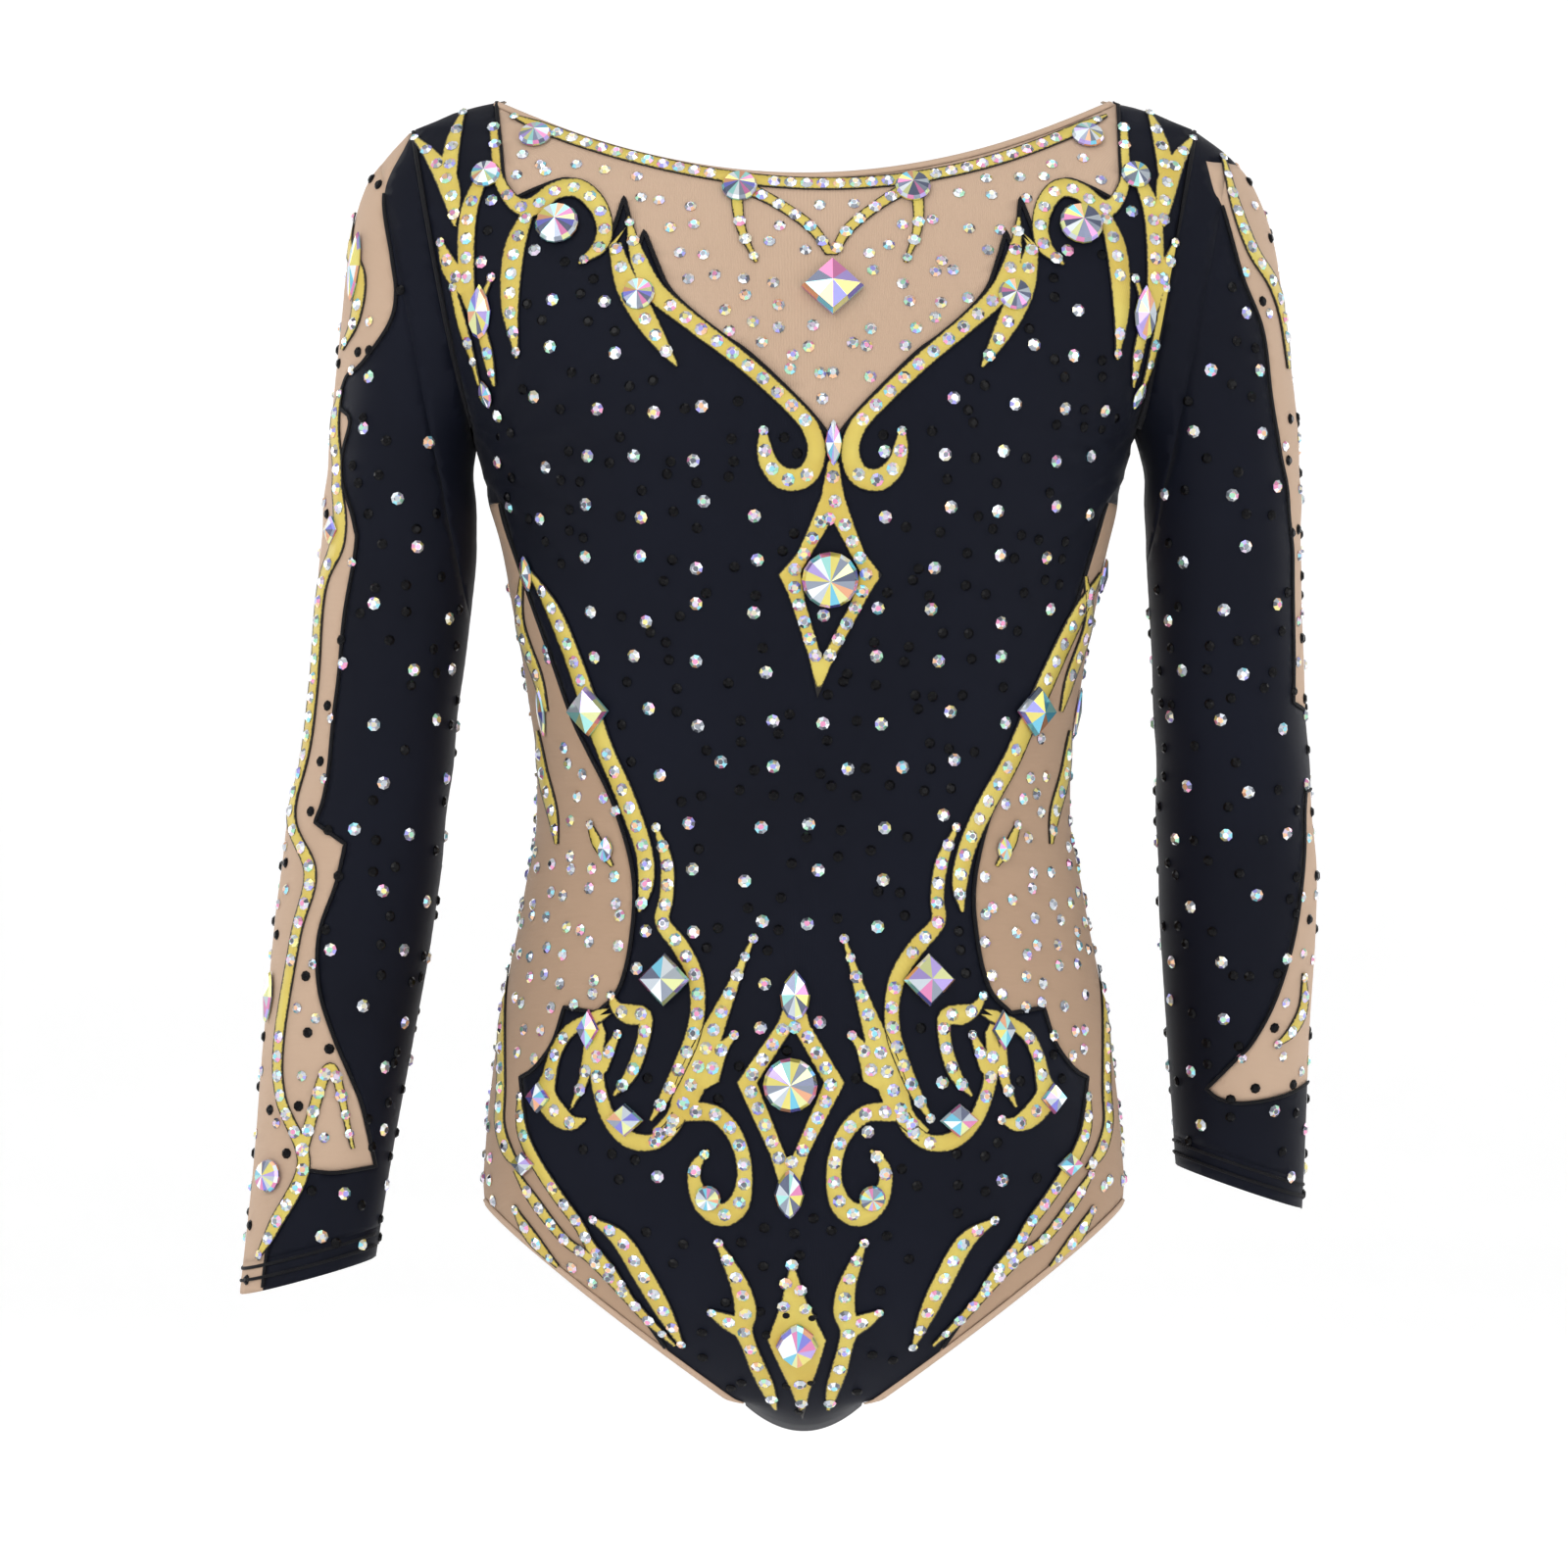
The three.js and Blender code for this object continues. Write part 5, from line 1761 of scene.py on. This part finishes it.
@dataclass
class TrimPart(Part):
    """All raised yellow trim, and the rows of stones along it."""

    stones: dict[str, list[Stone]] = field(default_factory=lambda: {body: [] for body in BODIES})
    taken: list[tuple[float, float]] = field(default_factory=list)

    def paths(self, strokes: Sequence[Sequence[Station]], side: int, body: str,
              moved: bool = True) -> list[Points]:
        """Smooth paths of strokes on one side, with their stones noted.

        Args:
            strokes: The strokes, for the positive side.
            side: 1, or -1 for the mirror image.
            body: The body that the stones ride on.
            moved: Whether the print's lean applies.

        Returns:
            The paths.
        """
        found = []
        for stroke in strokes:
            path = smooth_path([(side * x, z, width) for x, z, width in stroke], 1.8)
            if moved:
                path = placed(path)
            self._row_of_stones(path, body)
            found.append(path)
        return found

    def _row_of_stones(self, path: Points, body: str, pitch: float = 8.2) -> None:
        """Notes stones at an even pitch along a path.

        Args:
            path: Across, height and width of the trim.
            body: The body that they ride on.
            pitch: The spacing.
        """
        steps = np.linalg.norm(np.diff(path[:, :2], axis=0), axis=1)
        length = np.concatenate([[0], np.cumsum(steps)])
        for at in np.arange(2.0, length[-1], pitch):
            x, z, width = (float(np.interp(at, length, path[:, i])) for i in range(3))
            size = 4.2 if width < 2.5 else SMALL
            self.stones[body].append(Stone(x, z, size, size, lift=0.9))
        self.taken += [(float(x), float(z)) for x, z in path[::2, :2]]

    def build(self) -> None:
        """Makes and dresses every piece of trim."""
        sewn = Applique(TORSO)
        for name, strokes in PAIRED_TRIM.items():
            for side in Side:
                node = f"{name}_{side.word}"
                paths = self.paths(strokes, side.value, "torso")
                self._finish(sewn.of_strokes(f"{node}_applique", paths), "torso", node)
        sprigs = [path for side in Side for path in self.paths(SIDE_SPRIGS, side.value, "torso", False)]
        self._finish(sewn.of_strokes("side_sprig_appliques", sprigs), "torso")
        x = np.linspace(-127, 127, 90)
        band = placed(np.stack([x, neck_z(x) - 5, 4.6 * np.minimum(1, (129 - np.abs(x)) / 14)], axis=1))
        self._row_of_stones(band, "torso", 6.8)
        legs = [path for side in Side for path in self.paths(NECK_LEGS, side.value, "torso")]
        self._finish(sewn.of_strokes("neck_trim_applique", [band, *legs]), "torso", "neck_trim")
        for name, (half, window) in MIDDLE_TRIM.items():
            outline = self._closed(half)
            hole = self._closed(window) if window else None
            self._finish(sewn.of_outline(f"{name}_applique", outline, hole), "torso", name)
            if hole is not None:
                inner = densify([*hole, hole[0]], 2)
                middle = (inner + self._nearest(outline, inner)) / 2
                self._row_of_stones(np.column_stack([middle, np.full(len(middle), 5.0)]), "torso", 7.4)
        for x, z in placed(np.array(DROP_STONES)):
            self.stones["torso"].append(Stone(float(x), float(z), SMALL, SMALL, lift=0.9))
        left = Applique(LEFT_ARM)
        vine = self.paths([*LEFT_VINE, *LEFT_SHOULDER_LEAF], -1, "sleeve_left", False)
        self._finish(left.of_strokes("sleeve_left_vine_applique", vine), "sleeve_left", "sleeve_left_vine")
        right = Applique(RIGHT_ARM)
        for node, strokes in RIGHT_VINES.items():
            paths = self.paths(strokes, 1, "sleeve_right", False)
            self._finish(right.of_strokes(f"{node}_applique", paths), "sleeve_right", node)

    def _finish(self, obj: bpy.types.Object, body: str, *nodes: str) -> None:
        """Dresses a piece of trim."""
        self.dress(obj, self.finishes.yellow, "yellow_trim", body, *nodes)

    @staticmethod
    def _closed(half: Sequence[tuple[float, float]]) -> Points:
        """A half outline closed by its mirror image, where the print leans."""
        other = [(-x, z) for x, z in half if abs(x) > 0.01][::-1]
        return placed(np.array([*half, *other], float))

    @staticmethod
    def _nearest(outline: Points, points: Points) -> Points:
        """The nearest point of a closed outline to each point."""
        dense = densify([*outline, outline[0]], 1.0)
        return np.array([dense[np.linalg.norm(dense - p, axis=1).argmin()] for p in points])


@dataclass
class StonePart(Part):
    """Large crystals, rows of small ones along the trim, and scattered clear and jet ones."""

    trim: TrimPart
    cutter: StoneCutter = field(default_factory=StoneCutter)
    large: list[tuple[float, float, float]] = field(default_factory=list)
    seed: int = 11
    torso_pitch: float = 12.4
    sleeve_pitch: float = 14.0

    def build(self) -> None:
        """Makes and dresses all stones."""
        self._large_stones()
        rng = np.random.default_rng(self.seed)
        torso_places = self._tree(self.trim.taken)
        clear: dict[str, list[Stone]] = {key: list(rows) for key, rows in self.trim.stones.items()}
        jets: dict[str, list[Stone]] = {key: [] for key in clear}
        self._scatter_torso(rng, torso_places, clear["torso"], jets["torso"])
        for arm in (LEFT_ARM, RIGHT_ARM):
            body = f"sleeve_{arm.side.word}"
            self._scatter_arm(rng, arm, torso_places, clear[body], jets[body])
        for body, surface in BODIES.items():
            setter = StoneSetter(surface, self.cutter)
            kept = [stone for stone in clear[body] if not self._under_large(stone)]
            half = len(kept) // 2
            for number, group in enumerate((kept[:half], kept[half:])):
                piece = setter.make(f"{body}_rhinestones_{number + 1}", group, self.finishes.crystal)
                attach(piece, body)
            dark = [stone for stone in jets[body] if not self._under_large(stone)]
            piece = setter.make(f"{body}_jet_stones", dark, self.finishes.jet, None)
            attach(piece, body)
            LOG.info("%s: %d clear and %d jet stones", body, len(kept), len(dark))

    @staticmethod
    def _tree(points: Sequence[tuple[float, float]]) -> kdtree.KDTree:
        """A search tree of places that are taken.

        Args:
            points: The places.

        Returns:
            The tree.
        """
        tree = kdtree.KDTree(len(points))
        for i, (x, z) in enumerate(points):
            tree.insert((x, z, 0), i)
        tree.balance()
        return tree

    def _under_large(self, stone: Stone) -> bool:
        """Whether a small stone on the front would lie under a large one."""
        if stone.angle is not None and math.sin(stone.angle) < 0:
            return False
        return any(math.hypot(stone.x - x, stone.z - z) < reach + 1.5 for x, z, reach in self.large)

    def _large_stones(self) -> None:
        """One piece for each large crystal, and one for the further fancy stones."""
        setter = StoneSetter(TORSO, self.cutter)
        jobs: list[tuple[str, tuple]] = []
        for name, (x, z, width, height, cut) in LARGE_PAIRED.items():
            jobs += [(f"{name}_{side.word}", (side.value * x, z, width, height, cut)) for side in Side]
        jobs += list(LARGE_MIDDLE.items())
        for node, (x, z, width, height, cut) in jobs:
            (px, pz), = placed(np.array([(x, z)]))
            piece = setter.make(f"{node}_facets", [Stone(px, pz, width, height, cut, lift=1.0)],
                                self.finishes.crystal, LARGE_FACET_TINTS_AND_GLINTS)
            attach(piece, "torso")
            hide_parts(node)
            self.large.append((px, pz, max(width, height) / 2))
        fancy = []
        for x, z, width, height, cut in FANCY:
            for side in Side:
                (px, pz), = placed(np.array([(side.value * x, z)]))
                fancy.append(Stone(px, pz, width, height, cut, lift=0.9))
                self.large.append((px, pz, max(width, height) / 2))
        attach(setter.make("torso_fancy_stones", fancy, self.finishes.crystal, LARGE_FACET_TINTS_AND_GLINTS), "torso")
        sleeve = StoneSetter(LEFT_ARM, self.cutter)
        for node, stone in {
                "crystal_sleeve_pear": Stone(-190, -73, 9, 30, Cut.NAVETTE, lift=0.9),
                "crystal_sleeve_round": Stone(-225, -458, 14, 14, Cut.ROUND, lift=0.9)}.items():
            piece = sleeve.make(f"{node}_facets", [stone], self.finishes.crystal, LARGE_FACET_TINTS_AND_GLINTS)
            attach(piece, "sleeve_left")
            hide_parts(node)
            self.large.append((stone.x, stone.z, max(stone.width, stone.height) / 2))
        extra = [Stone(-200, -185, 10, 12, Cut.SQUARE, lift=0.9),
                 Stone(-226, -383, 9, 22, Cut.NAVETTE, lift=0.9)]
        piece = sleeve.make("sleeve_left_fancy_stones", extra, self.finishes.crystal, LARGE_FACET_TINTS_AND_GLINTS)
        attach(piece, "sleeve_left")
        self.large += [(stone.x, stone.z, stone.height / 2) for stone in extra]

    @staticmethod
    def _scatter(rng: np.random.Generator, surface: Surface, top: float, bottom: float,
                 pitch: float, jitter: float = 0.34) -> tuple[Points, Points, Points]:
        """A loose triangular grid all round a surface, even along the cloth.

        Args:
            rng: The random numbers.
            surface: The surface.
            top: The highest row.
            bottom: The lowest row.
            pitch: The spacing.
            jitter: The share of it that a place may move.

        Returns:
            Grid numbers (row + 2 column), angles and heights.
        """
        numbers, angles, heights = [], [], []
        turn = np.linspace(surface.seam, surface.seam + 2 * math.pi, 241)
        for row, z in enumerate(np.arange(top, bottom, -pitch * 0.87)):
            ring = surface.raw(turn, np.full_like(turn, z))
            length = np.concatenate([[0], np.cumsum(np.linalg.norm(np.diff(ring, axis=0), axis=1))])
            places = np.arange(pitch / 2 * (row % 2), length[-1] - pitch / 2, pitch)
            places = places + rng.uniform(-jitter, jitter, len(places)) * pitch
            numbers.append(row + 2 * np.arange(len(places)))
            angles.append(np.interp(places, length, turn))
            heights.append(z + rng.uniform(-jitter, jitter, len(places)) * pitch)
        return np.concatenate(numbers), np.concatenate(angles), np.concatenate(heights)

    def _scatter_torso(self, rng: np.random.Generator, taken: kdtree.KDTree, clear: list[Stone],
                       jets: list[Stone]) -> None:
        """Scatters stones all round the torso.

        Args:
            rng: The random numbers.
            taken: Places that the trim covers.
            clear: Clear stones, added to.
            jets: Jet stones, added to.
        """
        numbers, angles, heights = self._scatter(rng, TORSO, -6.0, -562.0, self.torso_pitch)
        across = TORSO.raw(angles, heights)[:, 0]
        free = (heights < neck_z(across) - 7) & ((heights > leg_z(across) + 4) | (np.abs(across) < 20))
        free &= (np.abs(np.cos(angles)) < 0.93) | (heights < -205)
        free &= np.abs(across) < np.where(heights > ARMPIT[1] - 4, armhole_x(heights) - 5, 200)
        for number, angle, z, x, name, ok in zip(numbers, angles, heights, across,
                                                 torso_label(angles, heights), free):
            front = math.sin(angle) > 0
            if not ok or not name or front and taken.find((x, z, 0))[2] < 6.0:
                continue
            if "yoke" in name or "mesh" in name:
                clear.append(Stone(x, z, 5.2, 5.2, angle=angle))
            elif number % 4 == 0 and (z > -400 or number % 8 == 0 and z > -470):
                clear.append(Stone(x, z, SMALL, SMALL, angle=angle))
            elif rng.uniform() < 0.62:
                jets.append(Stone(x, z, JET, JET, angle=angle))

    def _scatter_arm(self, rng: np.random.Generator, arm: Arm, taken: kdtree.KDTree, clear: list[Stone],
                     jets: list[Stone]) -> None:
        """Scatters stones all round a sleeve.

        Args:
            rng: The random numbers.
            arm: The sleeve.
            taken: Places that the trim covers.
            clear: Clear stones, added to.
            jets: Jet stones, added to.
        """
        numbers, angles, heights = self._scatter(rng, arm, -24.0, arm.bottom, self.sleeve_pitch)
        across = arm.raw(angles, heights)[:, 0]
        names = arm_label(arm)(angles, heights)
        inward = -arm.side.value * np.cos(angles)
        free = ((inward < 0.8) | (heights < -200)) & (heights > arm.cuff_line(across, 5))
        for number, angle, z, x, name, ok in zip(numbers, angles, heights, across, names, free):
            front = math.sin(angle) > 0
            if not ok or not name or name.startswith("armhole"):
                continue
            if front and taken.find((x, z, 0))[2] < 6.0:
                continue
            if "mesh" in name:
                (jets if number % 2 else clear).append(Stone(x, z, JET, JET, angle=angle))
            elif number % 4 == 0:
                clear.append(Stone(x, z, SMALL, SMALL, angle=angle))
            elif rng.uniform() < 0.5:
                jets.append(Stone(x, z, JET, JET, angle=angle))


@dataclass
class Studio:
    """Camera, soft lights, floor and backdrop."""

    distance: float = 2.3
    view_width: float = 0.672
    aim: tuple[float, float] = (-0.0084, -0.2927)
    floor_z: float = -0.80

    def build(self) -> None:
        """Places the camera, the lights and the stage."""
        self._camera()
        self._stage()
        self._light("key_light", (-1.3, -1.9, 0.9), 1.3, 15.0)
        self._light("fill_light", (1.5, -1.8, 0.3), 1.3, 8.0)
        self._light("top_light", (0.0, -0.4, 1.6), 1.4, 8.0)
        self._light("rim_light_left", (-1.6, 0.9, 0.3), 0.9, 6.0)
        self._light("rim_light_right", (1.6, 0.9, 0.3), 0.9, 6.0)

    def _camera(self) -> None:
        """A level camera in front of the garment."""
        data = bpy.data.cameras.new("camera")
        data.sensor_width = 36.0
        data.lens = data.sensor_width * self.distance / self.view_width
        camera = bpy.data.objects.new("camera", data)
        camera.location = (self.aim[0], -self.distance, self.aim[1])
        camera.rotation_euler = (math.pi / 2, 0, 0)
        bpy.context.scene.collection.objects.link(camera)
        bpy.context.scene.camera = camera

    def _stage(self) -> None:
        """A pale round floor that curves up into a wall on all sides, and a pale sky."""
        turn = np.linspace(0, 2 * math.pi, 97)[:-1]
        bend = np.linspace(0, math.pi / 2, 13)
        reach = [0.0, 1.5, 3.0, *(4.0 + 1.6 * np.sin(bend)), 5.6]
        height = [0.0, 0.0, 0.0, *(1.6 - 1.6 * np.cos(bend)), 4.5]
        points = [(r * math.cos(a), r * math.sin(a), h + self.floor_z) for r, h in zip(reach, height)
                  for a in turn]
        count = len(turn)
        faces = [(row * count + i, row * count + (i + 1) % count, (row + 1) * count + (i + 1) % count,
                  (row + 1) * count + i) for row in range(len(reach) - 1) for i in range(count)]
        floor = make_mesh("floor_and_backdrop", np.array(points) / MM, [face[::-1] for face in faces])
        weld(floor)
        shader = Shader("pale_floor")
        place = shader.node("ShaderNodeTexCoord")
        noise = shader.node("ShaderNodeTexNoise", {"Vector": place.outputs["Object"], "Scale": 3.0})
        tone = shader.node("ShaderNodeMapRange", {"Value": noise.outputs["Fac"], "To Min": 0.82,
                                                  "To Max": 0.85})
        shader.set(Base_Color=tone.outputs["Result"], Roughness=0.9, Emission_Color=(1, 1, 1, 1),
                   Emission_Strength=0.3)
        floor.data.materials.append(shader.material)
        world = bpy.data.worlds.new("pale_sky")
        world.use_nodes = True
        world.node_tree.nodes["Background"].inputs["Color"].default_value = (1, 1, 1, 1)
        world.node_tree.nodes["Background"].inputs["Strength"].default_value = 0.55
        bpy.context.scene.world = world
        bpy.context.scene.view_settings.view_transform = "Standard"

    def _light(self, name: str, place: tuple[float, float, float], size: float, power: float) -> None:
        """One square area light that faces the garment.

        Args:
            name: The light's name.
            place: Where it stands.
            size: Its width.
            power: Its power in watts.
        """
        data = bpy.data.lights.new(name, "AREA")
        data.size = size
        data.energy = power
        light = bpy.data.objects.new(name, data)
        light.location = place
        target = Vector((self.aim[0], 0, self.aim[1]))
        light.rotation_euler = (target - Vector(place)).to_track_quat("-Z", "Y").to_euler()
        bpy.context.scene.collection.objects.link(light)


def main() -> None:
    """Builds the garment and the studio."""
    logging.basicConfig(level=logging.INFO, format="%(name)s %(message)s")
    Studio().build()
    finishes = Finishes()
    TorsoPart(finishes).build()
    SleevePart(finishes, LEFT_ARM).build()
    SleevePart(finishes, RIGHT_ARM).build()
    trim = TrimPart(finishes)
    trim.build()
    StonePart(finishes, trim).build()


if __name__ == "__main__":
    main()
